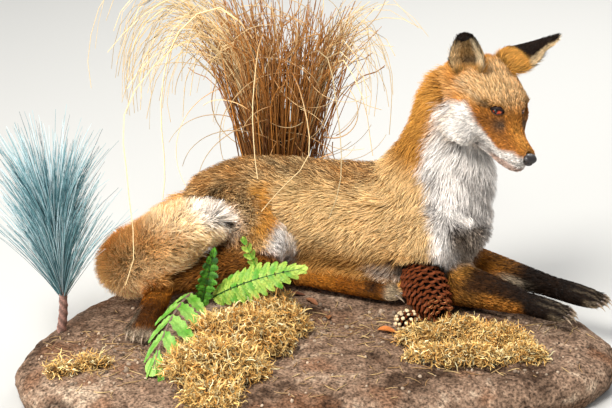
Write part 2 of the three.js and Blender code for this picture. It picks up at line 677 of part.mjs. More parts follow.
// Strands that bend out of the bundle, as the points each lock passes.
const GRASS_LOCKS = [
  [
    [-172, 232, 262], [-230, 232, 390], [-300, 222, 468],
    [-362, 205, 440], [-390, 196, 350], [-384, 192, 270],
  ],
  [[-176, 236, 300], [-236, 226, 420], [-296, 206, 440], [-348, 182, 372], [-352, 172, 300]],
  [[-178, 222, 330], [-224, 210, 424], [-262, 190, 410], [-284, 178, 330], [-286, 174, 270]],
  [[-84, 232, 330], [-46, 240, 420], [16, 236, 462], [70, 230, 430], [92, 228, 400]],
  [[-96, 240, 280], [-56, 246, 380], [-20, 244, 430], [14, 240, 380], [22, 238, 300], [14, 236, 262]],
];
const bundle = () => loft(GRASS_BUNDLE, { rings: 7, sides: 9, back: [0, 1, 0], cap: 0.3, capEnd: 0.7 });

// A lock of strands: a thin tube along its points, drawn out at its end.
function lockSolid(points) {
  const curve = new THREE.CatmullRomCurve3(points.map(vec), false, "centripetal");
  const STEPS = 5;
  const stations = [];
  for (let i = 0; i <= STEPS; i++) {
    const t = i / STEPS;
    const r = lerp(12, 2.5, t);
    stations.push([...curve.getPointAt(t).toArray(), r, r, r]);
  }
  return loft(stations, { rings: STEPS + 1, sides: 4, back: [0, 1, 0], cap: 0.6 });
}

const PINE_FOOT = [-348, -92, 50];
const PINE_CROWN = [-341, -96, 106];
const pineStem = (grow = 0) => spike(PINE_FOOT, PINE_CROWN, 6.5 + grow, [2, 0, 0], 6, 3);

// The needles' sheaf: a fluted cone that opens upwards from the crown.
function pineSheaf() {
  const FLUTES = 9;
  const HEIGHTS = [0, 0.2, 0.45, 0.7, 0.9, 1];
  const SPREAD = [9, 30, 62, 86, 88, 60];
  const LEAN = [-0.06, 0.02]; // how far its axis leans, against its height
  const FLATNESS = 0.72; // its depth against its width
  const FLUTE_DEPTH = 0.72; // the valleys' radius against the ridges'
  const TALL = 236;
  const positions = [];
  HEIGHTS.forEach((h, i) => {
    for (let j = 0; j < FLUTES * 2; j++) {
      const angle = (Math.PI * j) / FLUTES;
      const r = SPREAD[i] * (j % 2 === 0 ? 1 : FLUTE_DEPTH);
      positions.push(
        PINE_CROWN[0] + LEAN[0] * h * TALL + r * Math.cos(angle),
        PINE_CROWN[1] + LEAN[1] * h * TALL + r * FLATNESS * Math.sin(angle),
        PINE_CROWN[2] + h * TALL + (j % 2 === 0 ? 0 : -h * 16),
      );
    }
  });
  const around = FLUTES * 2;
  const pole = positions.length / 3;
  positions.push(PINE_CROWN[0], PINE_CROWN[1], PINE_CROWN[2] - 6);
  positions.push(PINE_CROWN[0] + LEAN[0] * TALL, PINE_CROWN[1], PINE_CROWN[2] + TALL * 1.1);
  const triangles = [];
  for (let i = 0; i < HEIGHTS.length - 1; i++)
    for (let j = 0; j < around; j++) {
      const [a, b] = [i * around + j, i * around + ((j + 1) % around)];
      triangles.push(a, b, a + around, b, b + around, a + around);
    }
  const last = (HEIGHTS.length - 1) * around;
  for (let j = 0; j < around; j++) {
    const k = (j + 1) % around;
    triangles.push(pole, k, j, pole + 1, last + j, last + k);
  }
  return solid(positions, triangles);
}

// ---------------------------------------------------------------- the group

const part = new THREE.Group();
function node(name, made, material) {
  const mesh = new THREE.Mesh(geometryOf(largest(made)), MATERIALS[material]);
  mesh.name = name;
  part.add(mesh);
  return made;
}

const c = CLEARANCE;
node("base", base, "rock");

// Pieces are made in an order in which each one is cut clear of those made before it.
const cones = Object.entries(CONES).map(([name, cone]) => {
  node(name, without(coneSolid(cone), ground), "cone");
  return coneSolid({ ...cone, around: CONE_GAP_SIDES }, c, CONE_GAP_BUMPS);
});

const skullGap = placedOnHead(skullSolid(c));
const jawGap = placedOnHead(jawSolid(c));
const noseGap = placedOnHead(noseSolid(c));
const SIDES = { right: -1, left: 1 };
for (const [name, side] of Object.entries(SIDES)) {
  node(`eye_${name}`, placedOnHead(eyeBall(side)), "eye");
  node(`ear_${name}`, without(placedOnHead(earSolid(EARS[name])), skullGap), "black");
}
node("nose", placedOnHead(noseSolid()), "nose");
const hollows = Object.values(SIDES).flatMap((side) => [eyeBall(side, c), socket(side)]).map(placedOnHead);
node("head", without(placedOnHead(skullSolid()), ...hollows, noseGap), "russet");
node("lower_jaw", without(placedOnHead(jawSolid()), skullGap, noseGap), "white");
const headGaps = [skullGap, jawGap, ...Object.values(EARS).map((shape) => placedOnHead(earSolid(shape, c)))];

// A leg's later pieces cut its earlier ones, so paws stay whole and thighs give way.
const LEG_COLOURS = {
  thigh_right: "grizzled", shank_right: "russet", hind_paw_right: "umber", thigh_left: "white",
  shank_left: "russet", hind_paw_left: "russet", upper_arm_right: "russet", forearm_right: "umber",
  fore_paw_right: "black", upper_arm_left: "white", forearm_left: "umber", fore_paw_left: "black",
};
const trunkGap = trunkSolid(c);
node("trunk", without(trunkSolid(), ...cones, ground), "russet");
const legNames = Object.keys(legs);
const legGaps = legNames.map((name) => legs[name](c));
legNames.forEach((name, i) => {
  const cutters = [...legGaps.slice(i + 1), trunkGap, ...cones, ground];
  node(name, without(legs[name](0), ...cutters), LEG_COLOURS[name]);
});

const tailGap = tailSolid({ grow: c });
Object.entries(TAIL_LENGTHS).forEach(([name, [from, to]]) => {
  const piece = tailSolid({ from, to });
  node(name, without(piece, trunkGap, ...legGaps, ground), name === "tail_tip" ? "white" : "buff");
});

node("neck", without(neckSolid(), ...headGaps, trunkGap, ...legGaps), "white");

const foxGaps = [...legGaps, trunkGap, tailGap];
const mossGaps = Object.entries(MOSS).map(([name, mounds]) => {
  const moss = mossSolid(mounds);
  node(name, without(moss, ...foxGaps, ...cones, ground), "moss");
  return moss;
});
for (const [name, fern] of Object.entries(FERNS))
  node(name, without(fernSolid(fern), ...foxGaps, ...mossGaps, ground), "fern");

const dryGrass = joined(bundle(), ...GRASS_LOCKS.map(lockSolid));
node("dry_grass", without(dryGrass, trunkGap, ...legGaps, ground), "grass");

node("pine_stem", without(pineStem(), ground), "bark");
node("pine_needles", without(pineSheaf(), pineStem(c)), "pine");

export default part;
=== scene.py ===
import math
from functools import partial

import bmesh
import bpy
import numpy as np
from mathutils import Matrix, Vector, kdtree
from mathutils.bvhtree import BVHTree


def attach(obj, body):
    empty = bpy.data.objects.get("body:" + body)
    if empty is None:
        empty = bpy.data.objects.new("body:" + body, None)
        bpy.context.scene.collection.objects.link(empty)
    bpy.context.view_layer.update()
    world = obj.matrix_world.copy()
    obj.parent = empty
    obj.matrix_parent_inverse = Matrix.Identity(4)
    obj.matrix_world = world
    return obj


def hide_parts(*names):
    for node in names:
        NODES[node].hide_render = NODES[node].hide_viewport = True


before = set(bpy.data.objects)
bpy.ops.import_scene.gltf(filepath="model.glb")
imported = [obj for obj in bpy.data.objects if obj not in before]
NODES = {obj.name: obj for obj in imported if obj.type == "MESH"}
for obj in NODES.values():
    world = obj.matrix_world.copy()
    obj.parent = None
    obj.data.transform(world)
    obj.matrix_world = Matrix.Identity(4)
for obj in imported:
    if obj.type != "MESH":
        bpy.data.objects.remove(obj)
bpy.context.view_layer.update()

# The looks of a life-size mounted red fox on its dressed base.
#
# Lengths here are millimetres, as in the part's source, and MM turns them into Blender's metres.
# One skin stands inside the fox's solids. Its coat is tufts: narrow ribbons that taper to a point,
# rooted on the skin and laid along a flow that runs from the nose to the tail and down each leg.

MM = 0.001
MM2_IN_CM2 = 100
draw = np.random.default_rng(20260514)

# ---------------------------------------------------------------- colours


def srgb(red, green, blue):
    """A colour given as it looks on a screen, 0 to 255, as the linear one that materials take."""
    c = np.array([red, green, blue]) / 255
    return np.where(c <= 0.04045, c / 12.92, ((c + 0.055) / 1.055) ** 2.4)


WHITE = srgb(250, 244, 238)
CREAM = srgb(252, 232, 194)
PALE = srgb(244, 212, 158)
GOLD = srgb(234, 180, 96)
HONEY = srgb(216, 152, 64)
ORANGE = srgb(204, 130, 46)
RUST = srgb(160, 92, 28)
UMBER = srgb(100, 60, 24)
GREYISH = srgb(140, 130, 124)
SMOKE = srgb(84, 72, 64)
SABLE = srgb(34, 22, 14)
BUFF = srgb(214, 172, 104)
DUN = srgb(214, 184, 132)
SKIN_PINK = srgb(178, 134, 110)

# ---------------------------------------------------------------- small tools


def smooth(low, high, value):
    """0 below low, 1 above high, and a soft step between."""
    s = np.clip((value - low) / (high - low), 0, 1)
    return s * s * (3 - 2 * s)


def mix(a, b, share):
    """a turned into b by each row's share."""
    share = np.asarray(share)[..., None]
    return a * (1 - share) + b * share


def peak(value, middle, width):
    """1 at the middle, falling softly to nothing within about two widths."""
    return np.exp(-(((value - middle) / width) ** 2))


def unit(v):
    """Each row as a direction of length 1."""
    return v / np.maximum(np.linalg.norm(v, axis=-1, keepdims=True), 1e-9)


def turns(spokes):
    """The angles of evenly spaced places round a ring."""
    return 2 * math.pi * np.arange(spokes) / spokes


def rotation(axis, angle):
    """The matrix that turns columns about an axis."""
    c, s = math.cos(angle), math.sin(angle)
    rows = {
        "x": [[1, 0, 0], [0, c, -s], [0, s, c]],
        "y": [[c, 0, s], [0, 1, 0], [-s, 0, c]],
        "z": [[c, -s, 0], [s, c, 0], [0, 0, 1]],
    }
    return np.array(rows[axis])


def spline(points, count):
    """Points evenly along a Catmull-Rom line through points."""
    p = np.asarray(points, float)
    p = np.vstack([2 * p[0] - p[1], p, 2 * p[-1] - p[-2]])
    t = np.linspace(0, len(p) - 3, 24 * len(p))
    i = np.minimum(t.astype(int), len(p) - 4)
    f = (t - i)[:, None]
    a, b, c, d = p[i], p[i + 1], p[i + 2], p[i + 3]
    line = 0.5 * (
        2 * b + (c - a) * f + (2 * a - 5 * b + 4 * c - d) * f**2 + (3 * b - a - 3 * c + d) * f**3
    )
    run = np.concatenate([[0], np.cumsum(np.linalg.norm(np.diff(line, axis=0), axis=1))])
    at = np.linspace(0, run[-1], count)
    return np.stack([np.interp(at, run, line[:, k]) for k in range(line.shape[1])], 1)


def grid_points(x, y, z):
    """The points of a grid from its three coordinates."""
    return np.stack(np.broadcast_arrays(x, y, z), -1).reshape(-1, 3)


def grid_faces(rows, columns, loop=False):
    """The quads of a grid of points, closed across on request."""
    grid = np.arange(rows * columns).reshape(rows, columns)
    if loop:
        grid = np.hstack([grid, grid[:, :1]])
    return np.stack([grid[:-1, :-1], grid[:-1, 1:], grid[1:, 1:], grid[1:, :-1]], -1).reshape(-1, 4)


def new_mesh(name, points, faces, colours=None, patches=None):
    """An object from points in millimetres and faces, an array of corner numbers, with a colour for
    each point and its place on the OFBake map on request."""
    mesh = bpy.data.meshes.new(name)
    points = np.asarray(points).reshape(-1, 3)
    count, corners = faces.shape
    mesh.vertices.add(len(points))
    mesh.vertices.foreach_set("co", (points * MM).astype(np.float32).ravel())
    mesh.loops.add(count * corners)
    mesh.loops.foreach_set("vertex_index", faces.astype(np.int32).ravel())
    mesh.polygons.add(count)
    mesh.polygons.foreach_set("loop_start", np.arange(0, count * corners, corners, dtype=np.int32))
    mesh.update(calc_edges=True)
    mesh.shade_smooth()
    if colours is not None:
        layer = mesh.color_attributes.new("Colour", "FLOAT_COLOR", "POINT")
        rgba = np.ones((len(points), 4), np.float32)
        rgba[:, :3] = colours.reshape(-1, 3)
        layer.data.foreach_set("color", rgba.ravel())
    if patches is not None:
        layer = mesh.uv_layers.new(name="OFBake")
        patches = patches.reshape(-1, 2)[faces.ravel()]
        layer.data.foreach_set("uv", patches.astype(np.float32).ravel())
    piece = bpy.data.objects.new(name, mesh)
    bpy.context.scene.collection.objects.link(piece)
    return piece


def show(piece, slot, material, *replaced):
    """Puts a finished piece on the object, with its material and the nodes that it stands for."""
    piece.data.materials.clear()
    piece.data.materials.append(material)
    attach(piece, "root")
    if replaced:
        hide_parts(*replaced)
    return piece


def joined_mesh(name, parts):
    """One piece from parts that each hold points, faces of one length, and the points' colours or one
    colour for them all."""
    points = [part[0].reshape(-1, 3) for part in parts]
    start = np.cumsum([0, *(len(own) for own in points[:-1])])
    faces = np.vstack([part[1] + first for part, first in zip(parts, start)])
    colours = [np.broadcast_to(part[2].reshape(-1, 3), own.shape) for part, own in zip(parts, points)]
    return new_mesh(name, np.vstack(points), faces, np.vstack(colours))


def read(items, field, width, kind=np.int32):
    """One field of a mesh's points, corners, edges or triangles, as rows."""
    values = np.empty(len(items) * width, kind)
    items.foreach_get(field, values)
    return values.reshape(-1, width)


def node_arrays(names):
    """The points in millimetres, triangles and owner of each triangle of some CAD nodes together."""
    points, faces, owners, start = [], [], [], 0
    for number, name in enumerate(names):
        mesh = NODES[name].data
        mesh.calc_loop_triangles()
        points.append(read(mesh.vertices, "co", 3, np.float32) / MM)
        faces.append(read(mesh.loop_triangles, "vertices", 3) + start)
        owners.append(np.full(len(faces[-1]), number))
        start += len(mesh.vertices)
    return np.vstack(points), np.vstack(faces), np.concatenate(owners)


def mesh_arrays(mesh):
    """The points in millimetres, faces of one length and edges of a mesh."""
    points = read(mesh.vertices, "co", 3, np.float32).astype(float) / MM
    faces = read(mesh.loops, "vertex_index", 1).reshape(len(mesh.polygons), -1)
    return points, faces, read(mesh.edges, "vertices", 2)


def point_normals(points, faces):
    """A unit normal at each point of a mesh of triangles or quads."""
    across = points[faces[:, -2]] - points[faces[:, 0]]
    other = points[faces[:, -1]] - points[faces[:, 1 if faces.shape[1] == 4 else 0]]
    normal = np.cross(across, other)
    out = np.zeros_like(points)
    for k in range(3):
        for corner in range(faces.shape[1]):
            out[:, k] += np.bincount(faces[:, corner], normal[:, k], len(points))
    return unit(out)


def spread(values, edges, rounds, weight=0.5):
    """Values at a mesh's points, evened out along its edges."""
    values = np.array(values, float)
    flat = values.reshape(len(values), -1)
    a, b = edges.T
    degree = np.maximum(np.bincount(np.concatenate([a, b]), minlength=len(flat)), 1)
    pull = np.broadcast_to(np.asarray(weight, float), (len(flat),))
    for _ in range(rounds):
        for k in range(flat.shape[1]):
            column = flat[:, k]
            near = np.bincount(a, column[b], len(flat)) + np.bincount(b, column[a], len(flat))
            flat[:, k] = column + pull * (near / degree - column)
    return flat.reshape(values.shape)


# ---------------------------------------------------------------- camera, light and floor

CAMERA_AZIMUTH = math.radians(16)
CAMERA_HEIGHT = math.radians(22.5)
CAMERA_DISTANCE = 2400
CAMERA_TARGET = np.array([-39.2, 23.2, 225.9])
FOCAL_PIXELS = CAMERA_DISTANCE / 1.32
PHOTO_WIDTH = 612
SENSOR = 36
FLOOR_REACH = 6000.0  # from the middle to each side


def look(thing, at, target):
    """Turns a camera or lamp at one place towards another."""
    thing.location = Vector(at) * MM
    way = Vector(target) - Vector(at)
    thing.rotation_euler = way.to_track_quat("-Z", "Y").to_euler()


def stage():
    """The photo's camera, three soft lamps, an even sky and a plain floor."""
    scene = bpy.context.scene
    scene.view_settings.view_transform = "Standard"
    back = np.array([
        math.sin(CAMERA_AZIMUTH) * math.cos(CAMERA_HEIGHT),
        -math.cos(CAMERA_AZIMUTH) * math.cos(CAMERA_HEIGHT),
        math.sin(CAMERA_HEIGHT),
    ])
    lens = bpy.data.cameras.new("camera")
    lens.sensor_width = SENSOR
    lens.lens = FOCAL_PIXELS / PHOTO_WIDTH * SENSOR
    lens.clip_end = 50
    camera = bpy.data.objects.new("camera", lens)
    scene.collection.objects.link(camera)
    look(camera, CAMERA_TARGET + back * CAMERA_DISTANCE, CAMERA_TARGET)
    scene.camera = camera

    # name, place, size, power and colour of each soft lamp
    lamps = (
        ("key", (-350, -1500, 2400), 1000, 88, (1.0, 0.97, 0.92)),
        ("fill", (-1700, -1700, 900), 1500, 26, (1.0, 0.98, 0.95)),
        ("rim", (300, 1900, 1900), 1200, 36, (1.0, 0.98, 0.95)),
    )
    for name, place, size, power, colour in lamps:
        light = bpy.data.lights.new(name, "AREA")
        light.shape = "DISK"
        light.size = size * MM
        light.energy = power
        light.color = colour
        lamp = bpy.data.objects.new(name, light)
        scene.collection.objects.link(lamp)
        look(lamp, place, (0, 80, 150))
    world = bpy.data.worlds.new("studio")
    scene.world = world
    world.use_nodes = True
    sky = world.node_tree.nodes["Background"]
    sky.inputs["Color"].default_value = (0.97, 0.98, 1.0, 1)
    sky.inputs["Strength"].default_value = 0.45

    corners = np.array([[-1, -1, 0], [1, -1, 0], [1, 1, 0], [-1, 1, 0]])
    floor = new_mesh("floor", corners * FLOOR_REACH, np.array([[0, 1, 2, 3]]))
    floor.data.materials.append(plain("floor_paint", (0.62, 0.62, 0.6), 0.7))


# ---------------------------------------------------------------- materials


def plain(name, colour, roughness, **sockets):
    """A material of one colour. Further sockets are set by name, with _ for a space."""
    material = bpy.data.materials.new(name)
    material.use_nodes = True
    shader = material.node_tree.nodes["Principled BSDF"]
    shader.inputs["Base Color"].default_value = (*colour, 1)
    shader.inputs["Roughness"].default_value = roughness
    for socket, value in sockets.items():
        shader.inputs[socket.replace("_", " ")].default_value = value
    return material


def new_node(tree, kind, **inputs):
    """A shader node, with each input set to a value or linked to another node's output."""
    node = tree.nodes.new("ShaderNode" + kind)
    for name, value in inputs.items():
        socket = node.inputs[name.replace("_", " ")]
        if isinstance(value, bpy.types.NodeSocket):
            tree.links.new(value, socket)
        else:
            socket.default_value = value
    return node


def patterned(name, roughness, scale, contrast, bump=0.0, bump_scale=None, **sockets):
    """A material that shows the mesh's Colour, made lighter and darker by a noise of that scale,
    in cells per metre, with a fine bump, in millimetres, on request."""
    material = plain(name, (0.5, 0.5, 0.5), roughness, **sockets)
    tree = material.node_tree
    shader = tree.nodes["Principled BSDF"]
    place = new_node(tree, "TexCoord").outputs["Object"]
    cells = new_node(tree, "TexNoise", Vector=place, Scale=scale, Detail=4).outputs["Fac"]
    light = new_node(
        tree, "MapRange", Value=cells, From_Min=0.3, From_Max=0.7, To_Min=1 - contrast, To_Max=1 + contrast
    )
    colour = new_node(tree, "Attribute")
    colour.attribute_name = "Colour"
    product = new_node(tree, "VectorMath")
    product.operation = "SCALE"
    tree.links.new(colour.outputs["Color"], product.inputs[0])
    tree.links.new(light.outputs["Result"], product.inputs["Scale"])
    tree.links.new(product.outputs["Vector"], shader.inputs["Base Color"])
    if bump:
        fine = new_node(tree, "TexNoise", Vector=place, Scale=bump_scale or scale * 4, Detail=5)
        relief = new_node(tree, "Bump", Distance=bump * MM, Strength=1, Height=fine.outputs["Fac"])
        tree.links.new(relief.outputs["Normal"], shader.inputs["Normal"])
    return material


# ---------------------------------------------------------------- the head's own frame

# Midway between the eyes, and the head's axes as columns.
HEAD_AT = np.array([212.0, 105.0, 351.0])
YAW, PITCH, ROLL = (math.radians(angle) for angle in (-39, 13, -10))
HEAD_AXES = rotation("z", YAW) @ rotation("y", PITCH) @ rotation("x", ROLL)
EYE_RADIUS = 8.8
EYE_AT = np.array([-4.0, 18.0, 2.0])


def to_head(points):
    """Places as the head sees them: x to the nose, y its left, z up, from midway between the eyes."""
    return (points - HEAD_AT) @ HEAD_AXES


def from_head(points):
    """Places in the head's frame as places of the model."""
    return points @ HEAD_AXES.T + HEAD_AT


def mirrored(head):
    """Places in the head's frame, with those on its right folded over to its left."""
    return head * [1, 0, 1] + np.abs(head * [0, 1, 0])


# ---------------------------------------------------------------- the skin

VOXEL = 3.3
SINK_STEPS = 3  # in which the skin goes down into the solids by the coat's depth
PATH_STEPS = 120  # places along each of PATHS
# Each leg's nodes, from the body to the paw. The fox's right side is the near one.
LEGS = {
    "near hind": ("thigh_right", "shank_right", "hind_paw_right"),
    "far hind": ("thigh_left", "shank_left", "hind_paw_left"),
    "near fore": ("upper_arm_right", "forearm_right", "fore_paw_right"),
    "far fore": ("upper_arm_left", "forearm_left", "fore_paw_left"),
}
TAIL_NODES = ("tail_root", "tail_middle", "tail_tip")
EAR_NODES = ("ear_right", "ear_left")
BODY = ["head", "lower_jaw", "neck", "trunk", *TAIL_NODES, *sum(LEGS.values(), ())]
FLESH = [*BODY, *EAR_NODES]

# For each node of flesh: how deep its coat is, how long and wide its tufts are, how many stand on a
# square centimetre, how far they gather in locks, how far each strays from the others' way, and how
# often the surface under it is evened out.
COAT = {
    "head": (4.0, 12, 0.68, 98, 0.35, 0.2, 8),
    "lower_jaw": (1.0, 4, 0.5, 110, 0.1, 0.12, 3),
    "neck": (17, 30, 0.77, 58, 0.34, 0.28, 40),
    "trunk": (13, 24, 0.85, 37.5, 0.3, 0.28, 40),
    "tail_root": (18, 28, 0.8, 46, 0.24, 0.5, 40),
    "tail_middle": (25, 29, 0.74, 70, 0.2, 0.55, 40),
    "tail_tip": (25, 27, 0.72, 78, 0.18, 0.55, 40),
    "thigh_right": (10, 18, 0.78, 60, 0.34, 0.6, 30),
    "thigh_left": (10, 20, 1.1, 22, 0.4, 0.4, 30),
    "shank_right": (6, 14, 0.9, 42, 0.34, 0.45, 20),
    "shank_left": (6, 12, 0.8, 48, 0.3, 0.25, 20),
    "hind_paw_right": (2.2, 7, 0.72, 80, 0.25, 0.3, 5),
    "hind_paw_left": (2.2, 7, 0.72, 80, 0.25, 0.3, 5),
    "upper_arm_right": (9, 18, 0.76, 60, 0.32, 0.28, 30),
    "upper_arm_left": (9, 20, 1.1, 26, 0.4, 0.25, 30),
    "forearm_right": (3.4, 9, 0.76, 72, 0.28, 0.25, 12),
    "forearm_left": (3.4, 9, 0.8, 60, 0.28, 0.25, 12),
    "fore_paw_right": (2.0, 6, 0.66, 90, 0.2, 0.25, 4),
    "fore_paw_left": (2.0, 6, 0.68, 80, 0.2, 0.25, 4),
    "ear_right": (0.6, 6.5, 0.6, 120, 0.2, 0.35, 0),
    "ear_left": (0.6, 7, 0.6, 120, 0.2, 0.35, 0),
}


def coat_column(column):
    """One of COAT's values for each node of FLESH."""
    return np.array([COAT[name][column] for name in FLESH])


# Places along each length of the fox, in the order that its hair lies.
PATHS = {
    "neck": [(150, 110, 372), (118, 140, 320), (100, 146, 270), (84, 150, 200)],
    "tail": [
        (-204, 152, 156), (-252, 148, 134), (-290, 126, 104), (-309, 82, 98), (-297, 30, 100),
        (-262, 10, 126), (-229, 16, 156), (-200, 21, 175), (-174, 26, 186), (-140, 30, 200),
    ],
    "near hind": [(-176, 112, 168), (-110, 58, 136), (-104, 44, 124), (-234, 8, 96), (-227, -112, 74)],
    "far hind": [(-160, 190, 124), (-92, 156, 146), (-74, 108, 84), (74, 99, 76), (110, 98, 76)],
    "near fore": [(132, 100, 200), (98, 110, 108), (98, 118, 100), (232, 104, 84), (304, 98, 74)],
    "far fore": [(140, 198, 190), (112, 190, 104), (272, 168, 80), (342, 156, 72)],
}


def largest_piece(points, faces, edges):
    """The connected piece of a mesh that has the most points."""
    label = np.arange(len(points))
    a, b = edges.T
    while True:
        low = label.copy()
        np.minimum.at(low, a, label[b])
        np.minimum.at(low, b, label[a])
        low = low[low]
        low = low[low]
        if (low == label).all():
            break
        label = low
    keep = label == np.bincount(label).argmax()
    number = np.cumsum(keep) - 1
    return points[keep], number[faces[keep[faces[:, 0]]]]


def remeshed(points, faces, voxel):
    """One closed skin of even quads over solids that touch or overlap."""
    shell = new_mesh("shell", points, faces)
    remesh = shell.modifiers.new("remesh", "REMESH")
    remesh.mode = "VOXEL"
    remesh.voxel_size = voxel * MM
    seen = shell.evaluated_get(bpy.context.evaluated_depsgraph_get())
    arrays = mesh_arrays(seen.to_mesh())
    seen.to_mesh_clear()
    bpy.data.objects.remove(shell)
    return largest_piece(*arrays)


def refined(points, faces, chosen):
    """The mesh as triangles, with the edges between chosen points halved."""
    mesh = new_mesh("coarse", points, faces)
    build = bmesh.new()
    build.from_mesh(mesh.data)
    edges = [e for e in build.edges if chosen[e.verts[0].index] and chosen[e.verts[1].index]]
    bmesh.ops.subdivide_edges(build, edges=edges, cuts=1, use_grid_fill=True)
    bmesh.ops.triangulate(build, faces=build.faces)
    build.to_mesh(mesh.data)
    build.free()
    arrays = mesh_arrays(mesh.data)
    bpy.data.meshes.remove(mesh.data)
    return arrays


def in_face(points):
    """Whether each place is on the front of the head."""
    x, y, z = to_head(points).T
    return (x > -30) & (np.abs(y) < 62) & (z > -78) & (z < 60)


# An ear as in the part: which side, the way it grows, the way its hollow faces, how far its tip is bent
# over, how its root is shifted, and its length.
EAR_ROOT = np.array([-56.0, 34.0, 24.0])
EAR_WIDTH = 39
EAR_THICKNESS = 1.8
EARS = {
    "ear_right": (-1, (-0.2, 0.35, 0.9), (0.6, 0.8, 0), 1.7, (-2, 2, 4), 80),
    "ear_left": (1, (0.07, 0.87, 0.49), (-0.1, 0.45, -0.89), 0.12, (-1, -17, 17), 92),
}
EAR_ROWS, EAR_COLUMNS = 34, 22


def ear_shell(side, lean, opening, fold, shift, length):
    """An ear's points and triangles, with each point's share of the way up, its place across, from -1 at
    the hind edge to 1 at the front one, and whether it is in the hollow."""
    flip = np.array([1, side, 1])
    up = unit(np.array(lean) * flip)
    face = np.array(opening) * flip
    face = unit(face - up * (face @ up))
    across = np.cross(up, face)
    root = EAR_ROOT * flip + shift
    t = np.linspace(0, 1, EAR_ROWS)
    bend = fold * smooth(0.58, 0.86, t)[:, None]
    way = up * np.cos(bend) + face * np.sin(bend)
    out = face * np.cos(bend) - up * np.sin(bend)
    steps = way * length / (EAR_ROWS - 1)
    middle = root + np.cumsum(steps, axis=0) - steps
    width = EAR_WIDTH / 2 * (0.8 + 0.45 * np.sin(math.pi * np.minimum(1, t * 1.5)))
    width *= np.sqrt(1.0002 - t**2.6) * (1 - 0.25 * t)
    cup = 1.25 + (0.55 - 1.25) * t
    radius = width / np.sin(cup)
    c = np.linspace(-1, 1, EAR_COLUMNS)
    angle = cup[:, None] * c
    sheets = []
    for depth in (EAR_THICKNESS / 2, -EAR_THICKNESS / 2):
        r = (radius + depth)[:, None]
        lift = (radius * np.cos(cup) + radius * 0.35)[:, None] - r * np.cos(angle)
        sheets.append(
            middle[:, None] + across * (r * np.sin(angle))[..., None] + out[:, None] * lift[..., None]
        )
    points = np.concatenate([sheet.reshape(-1, 3) for sheet in sheets])
    quads = grid_faces(EAR_ROWS, EAR_COLUMNS)
    count = EAR_ROWS * EAR_COLUMNS
    grid = np.arange(count).reshape(EAR_ROWS, EAR_COLUMNS)
    rim = np.concatenate([grid[0, :-1], grid[:-1, -1], grid[-1, :0:-1], grid[:0:-1, 0]])
    after = np.roll(rim, -1)
    edge = np.stack([rim, rim + count, after + count, after], 1)
    quads = np.concatenate([quads, quads[:, ::-1] + count, edge])
    triangles = np.concatenate([quads[:, [0, 2, 1]], quads[:, [0, 3, 2]]])
    facts = np.stack([
        np.tile(np.repeat(t, EAR_COLUMNS), 2),
        np.tile(-side * c, 2 * EAR_ROWS),
        np.repeat([0.0, 1.0], count),
    ], 1)
    return from_head(points), triangles, facts


EYE_SIDES = {"right": -1, "left": 1}
EYE_SLIT_TILT = 0.12
EYE_REACH = (9.4, 4.0)  # half the lids' opening along the slit and across it
EYE_BACK = -4  # what is further in than this doesn't belong to the eye


def eye_axes(side):
    """The eye's own axes as rows: back along the slit, up across it, and out of the head."""
    out = unit(np.array([0.64, side * 0.765, 0.06]))
    back = unit(np.array([-0.765, side * 0.64, 0.02]))
    return np.array([back, np.cross(out, back) * side, out])


def dent(head, normals, middle, radii, depth):
    """How far a soft dent, mirrored on both sides, moves each point of the head."""
    gap = (mirrored(head) - middle) / radii
    return -normals * (depth * np.exp(-(gap**2).sum(1)))[:, None]


# The lips' line on the head's left, from the nose to the corner.
MOUTH = [
    (56, 4, -46), (50, 8, -49), (36, 11.5, -52), (21, 15, -54),
    (8, 18, -51), (-11, 22, -50), (-24, 25, -49),
]


def line_gap(points, line):
    """How far each point is from the nearest of a line's places, and which place that is."""
    gap = np.full(len(points), 1e9)
    place = np.zeros(len(points), int)
    for k, spot in enumerate(line):
        far = np.linalg.norm(points - spot, axis=1)
        closer = far < gap
        gap[closer] = far[closer]
        place[closer] = k
    return gap, place


def mouth_gap(head):
    """How far each place of the head is from the lips' line."""
    return line_gap(mirrored(head), spline(MOUTH, 60))[0]


def eye_view(head, side):
    """Places along one eye's own axes, and how far each is from its middle against the lids' opening."""
    a, b, out = ((head - EYE_AT * [1, side, 1]) @ eye_axes(side).T).T
    return a, b, out, np.hypot(a / EYE_REACH[0], b / EYE_REACH[1])


def sculpt_head(points, normals):
    """Sets the eyes in lids and hollows, and shapes brow, cheekbone, bridge and mouth."""
    head = to_head(points)
    turned = normals @ HEAD_AXES
    moved = head.copy()
    moved += dent(head, turned, (-1, 22, 15), (11, 8, 6), -2.2)  # brow
    moved += dent(head, turned, (-20, 38, 8), (10, 8, 6), -1.4)  # its outer end
    moved += dent(head, turned, (-12, 36, -12), (16, 10, 5), -1.6)  # cheekbone
    moved += dent(head, turned, (14, 18, -10), (9, 6, 7), 1.6)  # hollow before the eye
    moved += dent(head, turned, (2, 0, 12), (14, 5, 12), 1.6)  # furrow between the brows
    moved += dent(head, turned, (36, 12, -44), (14, 6, 6), -1.2)  # whisker pad
    gap = mouth_gap(head)
    front = smooth(-34, -20, head[:, 0])
    moved -= turned * (1.9 * peak(gap, 0, 1.9) * front)[:, None]
    moved += turned * (0.9 * peak(gap, 3.6, 1.8) * front)[:, None]
    for side in EYE_SIDES.values():
        a, b, out, ring = eye_view(moved, side)
        hug = np.sqrt(np.maximum((EYE_RADIUS + 1.3) ** 2 - a**2 - b**2, 9))
        wanted = np.where(ring < 1, np.minimum(out, 2), hug)
        near = (1 - smooth(1.1, 2.6, ring)) * (out > EYE_BACK)
        out = out + (wanted - out) * near
        moved = EYE_AT * [1, side, 1] + np.stack([a, b, out], 1) @ eye_axes(side)
    return from_head(moved)


